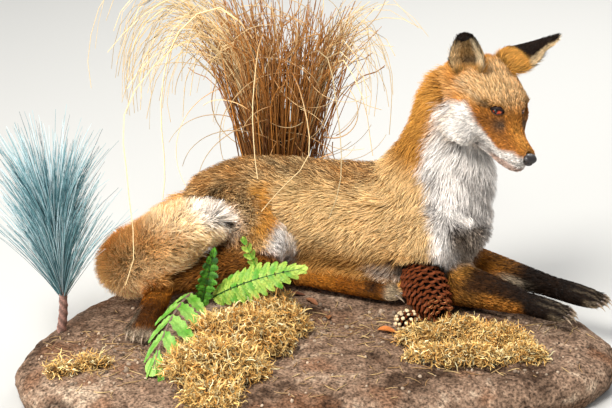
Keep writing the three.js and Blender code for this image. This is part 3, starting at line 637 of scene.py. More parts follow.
def coat_depth(points, shares):
    """How deep the coat is over each point."""
    depth = shares @ coat_column(0)
    x, _, z = to_head(points).T
    ruff = smooth(-18, -50, x) * (0.35 + 0.65 * smooth(10, -24, z))
    on_head = shares[:, 0]
    head_depth = 1.6 + 1.6 * smooth(20, -10, x) + 8 * ruff + 2 * smooth(-20, -60, x)
    return depth * (1 - on_head) + on_head * head_depth


def build_skin():
    """The skin's points, triangles and edges, each point's shares of the flesh nodes, and its facts as
    ear_shell gives them, which are 0 off the ears."""
    points, faces, owners = node_arrays(BODY)
    normals = point_normals(points, faces)
    skin, quads = remeshed(points + normals * 0.5, faces, VOXEL)
    skin, triangles, edges = refined(skin, quads, in_face(skin))
    tree = BVHTree.FromPolygons(points.tolist(), faces.tolist())
    nearest = np.array([tree.find_nearest(p)[2] for p in skin.tolist()])
    shares = np.zeros((len(skin), len(FLESH)))
    shares[np.arange(len(skin)), owners[nearest]] = 1
    rounds = spread(shares @ coat_column(6), edges, 10)
    for k in range(int(rounds.max())):
        skin = spread(skin, edges, 1, 0.5 * (rounds > k))
    shares = spread(shares, edges, 8)
    for _ in range(SINK_STEPS):
        inward = point_normals(skin, triangles) * coat_depth(skin, shares)[:, None] / SINK_STEPS
        skin = skin - spread(inward, edges, 4)
    skin = sculpt_head(skin, spread(point_normals(skin, triangles), edges, 2))
    facts = np.zeros((len(skin), 3))
    for name in EAR_NODES:
        ear, ear_triangles, ear_facts = ear_shell(*EARS[name])
        triangles = np.concatenate([triangles, ear_triangles + len(skin)])
        own = np.zeros((len(ear), len(FLESH)))
        own[:, FLESH.index(name)] = 1
        skin = np.concatenate([skin, ear])
        shares = np.concatenate([shares, own])
        facts = np.concatenate([facts, ear_facts])
    pairs = np.sort(np.concatenate([triangles[:, two] for two in ([0, 1], [1, 2], [2, 0])]), axis=1)
    return skin, triangles, np.unique(pairs, axis=0), shares, facts


def share_of(shares, *names):
    """How far each point belongs to some of the flesh nodes."""
    return shares[:, [FLESH.index(name) for name in names]].sum(1)


def path_way(points, path):
    """The direction of the nearest stretch of a path at each point, and the share of the way along it."""
    line = spline(path, PATH_STEPS)
    _, place = line_gap(points, line)
    way = unit(np.gradient(line, axis=0))
    return way[place], place / (PATH_STEPS - 1)


def hair_flow(points, normals, edges, shares):
    """The direction that the hair lies in at each point of the skin."""
    x, y, z = to_head(points).T
    low = smooth(0, -35, z)
    side = np.sign(y)
    brow = smooth(-34, -4, x) * smooth(-2, 14, z)
    across = 0.35 * low * side + 0.25 * side * brow
    face = np.stack([-np.ones_like(x), across, 0.55 * brow - 0.75 * low], 1)
    face[:, 2] *= 1 - 0.7 * smooth(0, 40, x)
    flow = (unit(face) @ HEAD_AXES.T) * share_of(shares, "head", "lower_jaw")[:, None]
    flank = smooth(0.8, 0.2, normals[:, 2]) * smooth(-0.9, -0.3, normals[:, 2])
    trunk = np.stack([-np.ones_like(x), np.zeros_like(x), -0.7 * flank], 1)
    front = smooth(100, 140, points[:, 0])
    trunk = mix(unit(trunk), np.array([-0.35, 0, -0.94]), front)
    flow += unit(trunk) * share_of(shares, "trunk")[:, None]
    flow += path_way(points, PATHS["neck"])[0] * share_of(shares, "neck")[:, None]
    flow += path_way(points, PATHS["tail"])[0] * share_of(shares, *TAIL_NODES)[:, None]
    for name, nodes in LEGS.items():
        flow += path_way(points, PATHS[name])[0] * share_of(shares, *nodes)[:, None]
    for name in EAR_NODES:
        sideways, lean = EARS[name][0], EARS[name][1]
        up = unit(np.array(lean) * [1, sideways, 1]) @ HEAD_AXES.T
        flow += up * share_of(shares, name)[:, None]
    flow = spread(flow, edges, 14)
    flow -= normals * (flow * normals).sum(1)[:, None]
    return unit(flow)


# ---------------------------------------------------------------- the fox's markings

# Where the cheek's white begins: places along the head, and heights in the head's frame.
CHEEK_LINE = (
    [-70, -60, -47, -39, -22, -14, -6, 4, 14, 24, 45, 58],
    [-22, -6, -7, -6, -1, -7, -15, -28, -37, -41, -34, -36],
)
# How far forward the neck's white begins: heights above the floor, and places.
BIB_LINE = (
    [60, 170, 250, 262, 274, 288, 303, 325, 345, 372],
    [124, 120, 112, 100, 96, 104, 112, 120, 127, 142],
)
TOE_STEP = 9.5  # between the toes of a fore paw


def painted(coat, low, high, share, tip_share=None):
    """The coat's colours and its tips' colours, each turned into its own new one by a share."""
    tip_share = share if tip_share is None else tip_share
    return mix(coat[0], low, share), mix(coat[1], high, tip_share)


def markings(points, normals, shares, facts):
    """The coat's colour at each point, the colour of its tips, how uneven it is, what share of its tufts
    is dark, and how far it is the ruffled, grizzled fur of the back."""
    x, y, z = points.T
    hx, hy, hz = to_head(points).T
    up = normals[:, 2]
    on = partial(share_of, shares)
    wave = np.sin(x / 23 + 2 * np.sin(z / 31)) + np.sin(y / 19 + z / 27 + 1)
    wave = (wave + np.sin(x / 9 + z / 13 + y / 11)) / 3

    # trunk and thighs: golden flanks, grizzled back and rump, darker low down
    coat = np.tile(GOLD, (len(points), 1)), np.tile(PALE, (len(points), 1))
    coat = painted(coat, HONEY, PALE, smooth(-0.2, 0.8, wave) * 0.8, 0)
    underneath = mix(RUST, UMBER, 0.3), mix(BUFF, HONEY, 0.6)
    coat = painted(coat, *underneath, smooth(172, 116, z) * 0.88, smooth(168, 116, z) * 0.9)
    # darker grey-brown where the skin faces down: the belly's greyer fur, and painted shade under it
    coat = painted(coat, SMOKE, PALE, smooth(-0.4, -0.9, up) * 0.6, 0)
    shoulder = smooth(40, 96, x) * smooth(250, 200, z)
    coat = painted(coat, mix(UMBER, HONEY, 0.66), PALE, shoulder * 0.8, 0)
    back = smooth(0.62, 0.9, up + 0.08 * wave) * smooth(80, 40, x)
    rump = smooth(-104, -126, x + 8 * wave) * smooth(96, 120, z)
    grizzle = np.maximum(back, rump) * (1 - on(*TAIL_NODES))
    patchy = np.sin(x / 13 + 1.7 * np.sin(y / 11)) * np.sin(z / 12 + x / 29 + 2 * np.sin(y / 23))
    low = mix(UMBER, mix(RUST, ORANGE, 0.3), 0.55 + 0.4 * patchy)
    high = mix(mix(PALE, DUN, 0.5), mix(ORANGE, HONEY, 0.5), 0.3 + 0.35 * patchy)
    coat = painted(coat, low, high, grizzle * 0.95, grizzle)
    inner = on("thigh_right", "trunk") * smooth(-136, -124, x + 5 * wave) * smooth(-92, -106, x)
    inner *= smooth(0.95, 0.75, up) * smooth(150, 170, z) * smooth(238, 216, z) * smooth(120, 100, y)
    grizzle *= 1 - inner
    coat = painted(coat, mix(ORANGE, HONEY, 0.5), mix(GOLD, HONEY, 0.7), inner)
    haunch = on("thigh_right", "shank_right")
    # darker under the thigh and the tail: painted shade over the haunch's brown fur
    thigh_shadow = haunch * smooth(-112, -128, x) * smooth(176, 140, z)
    coat = painted(
        coat, mix(UMBER, RUST, 0.4), mix(RUST, HONEY, 0.5), thigh_shadow * 0.9, thigh_shadow * 0.85
    )
    groin = haunch * smooth(-110, -98, x) * smooth(184, 166, z)
    flank_patch = on("trunk") * smooth(-104, -96, x) * smooth(-62, -76, x) * smooth(166, 150, z)
    groin = np.maximum(groin, flank_patch * smooth(0.7, 0.3, up)) * smooth(104, 120, z)
    coat = painted(coat, WHITE, WHITE, groin)
    hem = on("trunk", "upper_arm_right") * smooth(132, 118, z) * smooth(20, 50, x)
    coat = painted(coat, GREYISH, WHITE, hem * 0.7, hem * 0.6)

    # neck: golden behind, white in front, with grey under the throat
    nape = mix(mix(RUST, ORANGE, 0.4), mix(ORANGE, HONEY, 0.5), smooth(-0.4, 0.8, wave))
    coat = painted(coat, nape, mix(HONEY, GOLD, 0.3) * 0.84, on("neck") * smooth(240, 290, z))
    past_bib = x - np.interp(z, *BIB_LINE)
    bib = smooth(-6, 8, past_bib + 5 * wave)
    bib *= on("neck", "trunk", "upper_arm_right", "upper_arm_left") * smooth(84, 104, z)
    coat = painted(coat, WHITE, WHITE, bib)
    streaks = smooth(-0.1, 0.7, np.sin(x / 7 + z / 16) * np.sin(z / 21 + y / 17 + 1))
    shade = bib * smooth(290, 250, z) * streaks * smooth(196, 160, x)
    coat = painted(coat, GREYISH, GREYISH, shade * 0.9, shade * 0.45)
    # brown-grey low on the chest: painted shadow between the forelegs
    chest_shadow = 0.8 * bib * smooth(200, 172, z + 6 * wave) * smooth(136, 150, x) * smooth(184, 168, x)
    coat = painted(
        coat, mix(SMOKE, UMBER, 0.5), mix(SMOKE, BUFF, 0.4), chest_shadow, chest_shadow * 0.85
    )

    # tail: golden brown above, dun below, cream then white at the tip
    tail = on(*TAIL_NODES)
    _, along = path_way(points, PATHS["tail"])
    fur = mix(mix(BUFF, CREAM, 0.4), mix(HONEY, BUFF, 0.5), smooth(-0.35, 0.45, up + 0.2 * wave))
    fur = mix(fur, mix(HONEY, RUST, 0.3), 0.5 * smooth(-0.2, 0.7, wave) * smooth(-0.3, 0.3, up))
    fur = mix(fur, mix(BUFF, CREAM, 0.25), 0.7 * smooth(-0.1, -0.8, normals[:, 0]) * smooth(0.8, 0.3, up))
    fur = mix(fur, CREAM, smooth(0.74, 0.86, along + 0.12 * up) * 0.9)
    fur = mix(fur, WHITE, smooth(0.86, 0.92, along + 0.05 * up))
    coat = painted(coat, fur, mix(fur, CREAM, 0.2 + 0.3 * smooth(0.1, -0.5, up)), tail)

    # legs: umber fronts, rusty sides, sable paws with pale toes
    for name, nodes in LEGS.items():
        _, along = path_way(points, PATHS[name])
        fore_toe = smooth(0.91, 0.97, along) * smooth(0.7, 0.3, up)
        if name == "near fore":
            leg = mix(HONEY, mix(RUST, ORANGE, 0.4), smooth(0.4, 0.6, along + 0.08 * wave))
            leg = mix(leg, UMBER, 0.45 * smooth(0.1, 0.8, wave))
            front = smooth(-0.1, 0.45, up + 0.2 * wave) * smooth(0.5, 0.6, along)
            leg = mix(leg, SABLE, front * 0.92)
            leg = mix(leg, SABLE, smooth(0.74, 0.86, along + 0.1 * up) * 0.85)
            ridge = smooth(0.15, 0.45, normals[:, 1]) * smooth(0.62, 0.5, along) * smooth(0.3, 0.6, up)
            leg = mix(leg, CREAM, ridge * 0.8)
            toe = mix(SABLE, mix(DUN, GREYISH, 0.5), 0.55 * fore_toe)
            top = mix(leg, GOLD, 0.35 * (1 - front) * smooth(0.86, 0.7, along))
        elif name == "far fore":
            leg = mix(mix(RUST, ORANGE, 0.45), SABLE, smooth(0.54, 0.66, along + 0.05 * wave))
            leg = mix(leg, UMBER, 0.4 * smooth(0.1, 0.8, wave))
            patch = peak(x, 210, 18) * smooth(0.4, 0.0, up) * smooth(0.1, -0.3, normals[:, 1])
            leg = mix(leg, mix(GREYISH, CREAM, 0.5), patch)
            toe = mix(SABLE, mix(DUN, GREYISH, 0.5), 0.5 * fore_toe)
            top = mix(leg, HONEY, 0.35 * smooth(0.66, 0.5, along))
        elif name == "near hind":
            leg = mix(UMBER, RUST, 0.4 + 0.3 * wave)
            leg = mix(leg, ORANGE, smooth(0.68, 0.74, along) * smooth(0.86, 0.8, along) * 0.9)
            leg = mix(leg, mix(RUST, SABLE, 0.66), smooth(0.83, 0.9, along) * 0.9)
            side = smooth(-0.2, -0.7, normals[:, 0]) * smooth(0.84, 0.92, along)
            pale_toe = 0.6 * np.maximum(side, smooth(0.965, 0.995, along))
            toe = mix(leg, mix(GREYISH, CREAM, 0.5), pale_toe)
            top = mix(leg, HONEY, 0.2 * smooth(0.9, 0.8, along))
        else:
            leg = mix(ORANGE, RUST, smooth(-0.3, 0.5, wave) * 0.8)
            leg = mix(leg, UMBER, 0.5 * smooth(0, 30, x))
            ankle = peak(x, 34, 13) * smooth(-0.3, 0.4, up)
            leg = mix(leg, mix(SABLE, UMBER, 0.4), ankle * 0.85)
            toe = mix(leg, mix(PALE, GREYISH, 0.55), smooth(46, 58, x))
            top = mix(leg, GOLD, 0.3)
        if "fore" in name:
            toes = smooth(0.2, 0.9, np.cos((y + 0.12 * x) * 2 * math.pi / TOE_STEP))
            toes *= smooth(0.84, 0.93, along) * smooth(0.1, 0.6, up)
            toe = mix(toe, mix(DUN, GREYISH, 0.6), 0.4 * toes)
        paw = on(nodes[2])
        coat = painted(coat, mix(leg, toe, paw), mix(top, toe, paw), on(*nodes[1:]))

    # head: golden with rusty patches, white cheeks, dusky muzzle sides and dark lips
    head = on("head", "lower_jaw")
    aside = np.abs(hy)
    face = mix(ORANGE, mix(GOLD, HONEY, 0.8), smooth(-8, 22, hz) * smooth(30, -10, hx))
    face = mix(face, RUST, 0.6 * smooth(-34, -14, hx) * smooth(6, -8, hz) * smooth(8, 16, aside))
    face = mix(face, mix(ORANGE, HONEY, 0.5 + 0.5 * wave), smooth(-44, -62, hx))
    face = mix(face, RUST, 0.8 * peak(hx, -46, 20) * peak(hz, 14, 9) * smooth(30, 44, aside))
    cheek = smooth(3.5, -3.5, hz - np.interp(hx, *CHEEK_LINE) + 2 * wave)
    cheek *= smooth(-6, 6, past_bib + 4 * wave)
    face = mix(face, WHITE, cheek)
    smudge = peak(hx, 13, 7) * peak(hz + 0.4 * hx, -8, 7) * smooth(10, 16, aside)
    face = mix(face, SMOKE, 0.85 * smudge)
    streak = peak(hz + 0.3 * hx, 3.4, 2.6) * smooth(-8, -13, hx) * smooth(-36, -28, hx)
    face = mix(face, SABLE, 0.9 * streak * smooth(22, 27, aside))
    face = mix(face, HONEY, 0.6 * peak(hy, 0, 7) * smooth(8, 30, hx) * smooth(-34, -26, hz))
    gap = mouth_gap(to_head(points))
    on_mouth = smooth(-32, -22, hx)
    face = mix(face, GREYISH, 0.6 * smooth(7, 3, gap) * on_mouth * smooth(30, 5, hx))
    face = mix(face, SABLE, smooth(2.6, 1.2, gap) * on_mouth)
    face = mix(face, SKIN_PINK, 0.75 * smooth(0, 18, hx) * smooth(-51, -55, hz))
    crown = smooth(-4, 16, hz) * smooth(30, 0, hx) * smooth(-64, -44, hx)
    coat = painted(coat, face, mix(face, mix(GOLD, CREAM, 0.7), 0.72 * crown + 0.06), head)
    coat = painted(coat, mix(ORANGE, HONEY, 0.6), PALE, head * crown * 0.8, 0)

    # ears: sable backs over a golden base, and a hollow with pale edges and painted shade low in it
    rise, across, hollow = facts.T
    back = mix(mix(HONEY, GOLD, 0.4), SABLE, smooth(0.2, 0.32, rise - 0.13 * across))
    fringe = smooth(0.5, 0.7, across) * smooth(0.26, 0.36, rise)
    fringe *= 1 - on("ear_right") * smooth(0.45, 0.55, rise)
    back = mix(back, mix(GOLD, CREAM, 0.6), fringe)
    inside = mix(mix(HONEY, BUFF, 0.5), mix(UMBER, BUFF, 0.45), smooth(0.3, 0.5, rise))
    # painted shade low in the middle of the hollow
    ear_hollow_shade = peak(rise, 0.2, 0.13) * smooth(0.85, 0.35, np.abs(across - 0.05))
    inside = mix(inside, mix(UMBER, SABLE, 0.4), 0.9 * ear_hollow_shade)
    inside = mix(inside, CREAM, 0.85 * smooth(0.3, 0.65, across) * smooth(0.66, 0.56, rise))
    hind_edge = smooth(-0.5, -0.8, across) * smooth(0.56, 0.46, rise)
    inside = mix(inside, mix(GOLD, CREAM, 0.5), 0.85 * hind_edge)
    inside = mix(inside, GOLD, smooth(0.12, 0.02, rise))
    rim = np.maximum(smooth(0.62, 0.7, rise), smooth(-0.66, -0.84, across) * smooth(0.46, 0.56, rise))
    slit = smooth(0.9, 0.96, across) * smooth(0.3, 0.4, rise)
    inside = mix(inside, SABLE, np.maximum(rim, slit))
    ear = mix(back, inside, hollow)
    colour, tips = painted(
        coat, ear, mix(ear, CREAM, 0.16 * hollow * smooth(0.7, 0.5, rise)), on(*EAR_NODES)
    )

    uneven = 0.34 + 0.34 * grizzle + 0.1 * shoulder + 0.1 * shade + 0.2 * on("forearm_right")
    uneven += head * (0.1 + 0.12 * crown)
    dark = 0.16 + 0.38 * grizzle + 0.14 * shade + 0.12 * shoulder + 0.1 * thigh_shadow + 0.07 * head * crown
    dark *= 1 - 0.9 * np.maximum(tail, bib * (1 - shade))
    return colour, tips, uneven, dark, grizzle


# ---------------------------------------------------------------- the coat

MOST_TUFTS = 38000  # in one piece, of five triangles each
TUFT_POINTS = 7
TUFT_STEPS = np.array([0.0, 0.34, 0.7, 1.0])
TUFT_WIDTHS = np.array([0.75, 1.0, 0.62])
TUFT_FACES = np.array([[0, 1, 3], [0, 3, 2], [2, 3, 5], [2, 5, 4], [4, 5, 6]])
# For each of a tuft's points: its place on the tuft's patch, its share of the tips' colour, and how
# light it is, which is painted shade between the tufts, darkest at the root.
TUFT_CORNERS = np.array([[-1, -1], [1, -1], [-1, -0.3], [1, -0.3], [-0.8, 0.4], [0.8, 0.4], [0, 1]])
TIP_SHARES = np.array([0, 0, 0.35, 0.35, 0.75, 0.75, 1.0])[:, None]
TUFT_PAINTED_SHADE = np.array([0.22, 0.22, 0.66, 0.66, 1, 1, 1.06])[:, None]
LOCK_SHARE = 9  # tufts to a lock
LOCK_REACH = 14  # how far a tuft may stand from its lock's middle one
PATCH = 0.003  # a tuft's patch on the map
BARE_BELOW, FURRED_ABOVE = 60.5, 63  # heights: no tufts stand where the skin meets the base


def skin_map(points, shares):
    """A place on an unwrap for each point: every length of the fox has its own cell, where one way is
    along the length and the other round it."""
    names = ["head", "neck", "trunk", "tail", *LEGS, *EAR_NODES]
    groups = [("head", "lower_jaw"), ("neck",), ("trunk",), TAIL_NODES]
    groups += [*LEGS.values(), *((name,) for name in EAR_NODES)]
    paths = {
        **PATHS,
        "head": from_head(np.array([(66, 0, -38), (20, 0, -34), (-40, 0, -14), (-104, 0, -20)])),
        "trunk": [(176, 150, 175), (60, 150, 158), (-230, 150, 150)],
    }
    for name in EAR_NODES:
        side, lean, _, _, shift, length = EARS[name]
        root = EAR_ROOT * [1, side, 1] + shift
        way = unit(np.array(lean) * [1, side, 1]) * length
        paths[name] = [from_head(root + way * k) for k in (-0.1, 0.5, 1.1)]
    weights = np.stack([share_of(shares, *group) for group in groups], 1)
    own = weights.argmax(1)
    place = np.zeros((len(points), 2))
    columns, rows = 5, 2
    for k, name in enumerate(names):
        chosen = own == k
        line = spline(paths[name], PATH_STEPS)
        _, near = line_gap(points[chosen], line)
        way = unit(np.gradient(line, axis=0))[near]
        arm = points[chosen] - line[near]
        first = unit(np.cross(way, [0.3, 0.2, 1.0]))
        second = np.cross(way, first)
        turn = np.arctan2((arm * second).sum(1), (arm * first).sum(1)) / (2 * math.pi) + 0.5
        cell = np.array([k % columns, k // columns])
        inner = np.stack([0.03 + 0.94 * near / (PATH_STEPS - 1), 0.02 + 0.96 * turn], 1)
        place[chosen] = (cell + inner) / (columns, rows)
    return place


def scatter(points, triangles, density):
    """Random places on a mesh: the triangle of each and its three weights. density is per square
    centimetre at each point."""
    a, b, c = (points[triangles[:, k]] for k in range(3))
    area = np.linalg.norm(np.cross(b - a, c - a), axis=1) / 2 / MM2_IN_CM2
    wanted = area * density[triangles].mean(1)
    total = np.cumsum(wanted)
    count = int(total[-1])
    picks = np.searchsorted(total, np.arange(count) + draw.random(count))
    picks = np.minimum(picks, len(triangles) - 1)
    u, v = draw.random((2, len(picks)))
    over = u + v > 1
    u[over], v[over] = 1 - u[over], 1 - v[over]
    return picks, np.stack([1 - u - v, u, v], 1)


def at_roots(values, triangles, picks, weights):
    """The values of a mesh's points at places that scatter gave."""
    values = values.reshape(len(values), -1)
    return (values[triangles[picks]] * weights[:, :, None]).sum(1)


def gathered(lines, roots, pull):
    """Each tuft's line, pulled towards the middle one of its lock and more so at the tip, and the number
    of that middle tuft."""
    leaders = np.arange(0, len(roots), LOCK_SHARE)
    tree = kdtree.KDTree(len(leaders))
    for number, leader in enumerate(leaders):
        tree.insert(roots[leader], number)
    tree.balance()
    own = leaders[[tree.find(root)[1] for root in roots.tolist()]]
    apart = roots[own] - roots
    near = np.linalg.norm(apart, axis=1) < LOCK_REACH
    share = pull[:, None] * TUFT_STEPS**1.3 * near[:, None]
    return lines + (lines[own] - lines) * share[..., None], own


def coat_mesh(name, tufts):
    """One piece of the coat from its tufts' lines, sides, widths, colours and map places."""
    lines, sides, widths, low, high, places = tufts
    count = len(lines)
    half = sides * (widths / 2)[:, None]
    points = np.empty((count, TUFT_POINTS, 3))
    for step, width in enumerate(TUFT_WIDTHS):
        points[:, 2 * step] = lines[:, step] - half * width
        points[:, 2 * step + 1] = lines[:, step] + half * width
    points[:, -1] = lines[:, -1]
    # each tuft is darker towards its root: painted shade between the tufts
    colours = (low[:, None] * (1 - TIP_SHARES) + high[:, None] * TIP_SHARES) * TUFT_PAINTED_SHADE
    patches = places[:, None] + PATCH / 2 * TUFT_CORNERS
    faces = (np.arange(count) * TUFT_POINTS)[:, None, None] + TUFT_FACES
    return new_mesh(name, points, faces.reshape(-1, 3), colours, patches)


# The coat's pieces and the nodes whose tufts each holds.
COAT_PIECES = {
    "coat_head": ("head", "lower_jaw", *EAR_NODES),
    "coat_neck": ("neck",),
    "coat_trunk": ("trunk",),
    "coat_tail": TAIL_NODES,
    "coat_forelegs": (*LEGS["near fore"], *LEGS["far fore"]),
    "coat_hind_legs": (*LEGS["near hind"], *LEGS["far hind"]),
}
# Where longer fur fills the gap under the tail, how far it reaches, and how much longer it is.
GAP_FUR, GAP_REACH, GAP_EXTRA = np.array([-172.0, 30.0, 146.0]), 28, 20

# Each cone's middle, the way that it points, its length and its radius.
CONES = {
    "cone_large": ((110, 78.3, 102.4), (0.528, -0.828, -0.184), 118, 32),
    "cone_small": ((104, 14, 77), (0.86, -0.45, 0.1), 36, 15),
}
CONE_MIDDLE = 0.46  # the share of a cone's length that is before its middle
CONE_CLEARANCE = 3  # between a cone and the tufts


def cone_egg(share):
    """A cone's width at a share of its length, against its widest."""
    return np.sin(math.pi * np.clip(share, 0.001, 0.999) ** 0.8) ** 0.62


def outside_cones(lines):
    """Whether each tuft's line stays clear of the two pine cones."""
    clear = np.ones(len(lines), bool)
    for at, lie, length, radius in CONES.values():
        lie = unit(np.array(lie))
        arm = lines[:, 1:] - np.array(at)
        along = arm @ lie
        off = np.linalg.norm(arm - along[..., None] * lie, axis=2)
        clear &= (off > radius * cone_egg(along / length + CONE_MIDDLE) + CONE_CLEARANCE).all(1)
    return clear


def build_coat(skin, triangles, edges, shares, facts):
    """Roots tufts all over the skin, lays them along the flow and shares them among the coat's pieces."""
    normals = point_normals(skin, triangles)
    flow = hair_flow(skin, normals, edges, shares)
    on = partial(share_of, shares)
    head = to_head(skin)
    x, _, z = head.T
    on_head = shares[:, 0]
    up_ear, across_ear, in_ear = facts.T

    # how long, deep, wide and dense the tufts are at each point
    by_ear = on_head * smooth(40, 24, np.linalg.norm(mirrored(head) - EAR_ROOT, axis=1))
    hollow = in_ear * smooth(0.7, 0.5, up_ear)
    ear_foot = on(*EAR_NODES) * smooth(0.34, 0.12, up_ear + 0.16 * in_ear)
    gap_fur = peak(np.linalg.norm(skin - GAP_FUR, axis=1), 0, GAP_REACH)
    gap_fur *= on("thigh_right", "shank_right") + 0.6 * on(*TAIL_NODES)
    length = shares @ coat_column(1)
    length += on_head * (-6.5 * smooth(-26, 10, x) + 14 * smooth(-22, -50, x) * smooth(8, -24, z))
    length += 5 * by_ear
    length += hollow * (1 + 5 * smooth(0.4, 0.8, np.abs(across_ear))) + 7 * ear_foot
    chest_hem = on("trunk", "upper_arm_right", "upper_arm_left") * smooth(130, 148, skin[:, 0])
    length *= 1 - 0.5 * chest_hem * smooth(214, 180, skin[:, 2])
    _, tail_way = path_way(skin, PATHS["tail"])
    length *= 1 - 0.4 * on(*TAIL_NODES) * smooth(0.82, 0.95, tail_way)
    length += GAP_EXTRA * gap_fur
    depth = coat_depth(skin, shares) + 2 * hollow + 1.2 * on(*EAR_NODES) + 3 * by_ear + 3 * ear_foot
    depth = depth + GAP_EXTRA * gap_fur
    width = shares @ coat_column(2) - 0.15 * on_head * smooth(-30, 0, x)
    density = shares @ coat_column(3) + 45 * on_head * smooth(-34, -10, x)
    density *= smooth(BARE_BELOW, FURRED_ABOVE, skin[:, 2])
    eyes = np.ones(len(skin))
    for side in EYE_SIDES.values():
        _, _, out, ring = eye_view(head, side)
        eyes *= np.where(out > EYE_BACK, smooth(1.0, 1.12, ring), 1)
        length *= np.where(out > EYE_BACK, 0.4 + 0.6 * smooth(1.0, 2.2, ring), 1)
    for name, nodes in LEGS.items():
        _, leg_way = path_way(skin, PATHS[name])
        length += 4.5 * on(nodes[2]) * smooth(0.94, 0.98, leg_way)
    nose = np.linalg.norm((head - [60, 0, -37]) / [9, 11, 9], axis=1)
    off_lips = smooth(1.2, 2.2, mouth_gap(head) + 9 * smooth(-22, -34, x))
    density *= eyes * smooth(1.0, 1.15, nose) * off_lips

    # each tuft's root, way and line
    base, tips, uneven, dark, grizzle = markings(skin, normals, shares, facts)
    places = skin_map(skin, shares)
    picks, weights = scatter(skin, triangles, density)
    take = partial(at_roots, triangles=triangles, picks=picks, weights=weights)
    roots, up, way = take(skin), unit(take(normals)), unit(take(flow))
    count = len(roots)
    side = np.cross(up, way)
    drift = draw.normal(0, 1, count) * take(shares @ coat_column(5) + 0.3 * grizzle)[:, 0]
    x, y, z = roots.T
    swirl = 0.3 * np.sin(x / 17 + 1.3 * np.sin(z / 23)) * np.sin(y / 15 + z / 19)
    way = unit(way + side * (drift + swirl)[:, None])
    reach = take(length)[:, 0] * draw.uniform(0.75, 1.15, count)
    rise = take(depth)[:, 0] * draw.uniform(0.55, 1.02, count)
    flat = np.sqrt(np.maximum(reach**2 - rise**2, (0.3 * reach) ** 2))
    step = TUFT_STEPS[:, None]
    lines = (
        roots[:, None]
        + way[:, None] * flat[:, None, None] * step
        + up[:, None] * rise[:, None, None] * (1 - (1 - step) ** 2)
    )
    lines[:, 0] -= up * 0.5
    pull = take(shares @ coat_column(4))[:, 0] * draw.uniform(0.4, 1.2, count)
    lines, lock = gathered(lines, roots, pull)

    # its width, colours and place on the map
    roll = draw.normal(0, 0.5, count)[:, None]
    sides = unit(np.cross(up, way) * np.cos(roll) + up * np.sin(roll))
    widths = take(width)[:, 0] * draw.uniform(0.7, 1.25, count)
    tone = draw.normal(0, 1, count) * 0.55 + draw.normal(0, 1, count)[lock] * 0.6
    shade = np.exp(np.clip(tone * take(uneven)[:, 0], -1.3, 0.7))[:, None]
    low = take(base) * shade * (1 + take(on(*TAIL_NODES)))
    high = take(tips) * (0.35 + 0.65 * shade)
    dusky = (draw.random(count) < take(dark)[:, 0])[:, None]
    low = np.where(dusky, low * 0.42, low)
    high = np.where(dusky, mix(low, high, 0.25), high)
    nearest = triangles[picks, weights.argmax(1)]
    patch = places[nearest]
    owner = shares[nearest].argmax(1)
    owner[~outside_cones(lines)] = -1
    hair = patterned("hair", 0.6, 900, 0.12, Specular_IOR_Level=0.1)
    for name, nodes in COAT_PIECES.items():
        mine = np.flatnonzero(np.isin(owner, [FLESH.index(node) for node in nodes]))
        mine = mine[np.argsort(roots[mine, 0], kind="stable")]
        parts = math.ceil(len(mine) / MOST_TUFTS)
        for number, some in enumerate(np.array_split(mine, parts)):
            tufts = [values[some] for values in (lines, sides, widths, low, high, patch)]
            piece = coat_mesh(f"{name}_{number + 1}" if parts > 1 else name, tufts)
            show(piece, "coat_pale" if name == "coat_neck" else "coat", hair)


def build_fox():
    """The hide, which stands for all the flesh nodes, and the coat on it."""
    skin, triangles, edges, shares, facts = build_skin()
    normals = point_normals(skin, triangles)
    colours = markings(skin, normals, shares, facts)[0]
    # the hide shows the coat's colours at half their brightness: painted shade deep in the coat
    hide = new_mesh("fox_skin", skin, triangles, colours * 0.5, skin_map(skin, shares))
    show(hide, "coat", patterned("hide", 0.7, 500, 0.2, bump=0.5, bump_scale=1500), *FLESH)
    build_coat(skin, triangles, edges, shares, facts)


# ---------------------------------------------------------------- noise and tubes


def noise(points, cell, seed=0):
    """A smooth random value from -1 to 1 at each place, that changes over about one cell."""
    p = np.asarray(points, float) / cell + 31.7 * seed + 1000
    low = np.floor(p).astype(np.int64)
    f = p - low
    f = f * f * (3 - 2 * f)
    total = np.zeros(len(p))
    for corner in np.ndindex(2, 2, 2):
        at = low + corner
        mixed = (at[:, 0] * 73856093) ^ (at[:, 1] * 19349663) ^ (at[:, 2] * 83492791)
        mixed = (mixed ^ (mixed >> 13)) * 1274126177
        value = ((mixed >> 8) & 0xFFFF) / 32767.5 - 1
        total += value * np.where(corner, f, 1 - f).prod(1)
    return total


def rough(points, cell, seed=0, octaves=3):
    """Noise with finer noise on top."""
    return sum(noise(points, cell / 2**k, seed + k) / 2**k for k in range(octaves)) / 1.75


def tubes(name, lines, radii, colours, places, sides=3):
    """Many thin tubes as one mesh, or ribbons if sides is 2. lines, radii and colours are per tube and
    step, and places holds each tube's place on the OFBake map."""
    count, steps, _ = lines.shape
    way = unit(np.gradient(lines, axis=1))
    first = unit(np.cross(way, draw.normal(0, 1, (count, 1, 3))))
    second = np.cross(way, first)
    angle = turns(sides)[:, None]
    arm = first[:, :, None] * np.cos(angle) + second[:, :, None] * np.sin(angle)
    points = lines[:, :, None] + radii[:, :, None, None] * arm
    grid = np.arange(count * steps * sides).reshape(count, steps, sides)
    shown = sides if sides > 2 else 1
    after = np.roll(grid, -1, axis=2)[:, :, :shown]
    grid = grid[:, :, :shown]
    faces = np.stack([grid[:, :-1], after[:, :-1], after[:, 1:], grid[:, 1:]], -1).reshape(-1, 4)
    shades = np.repeat(colours[:, :, None], sides, axis=2)
    along = np.linspace(-1, 1, steps)[None, :, None, None] * [0, 1]
    around = np.linspace(-1, 1, sides)[None, None, :, None] * [1, 0]
    patches = places[:, None, None] + PATCH / 2 * (along + around)
    return new_mesh(name, points, faces, shades, patches)


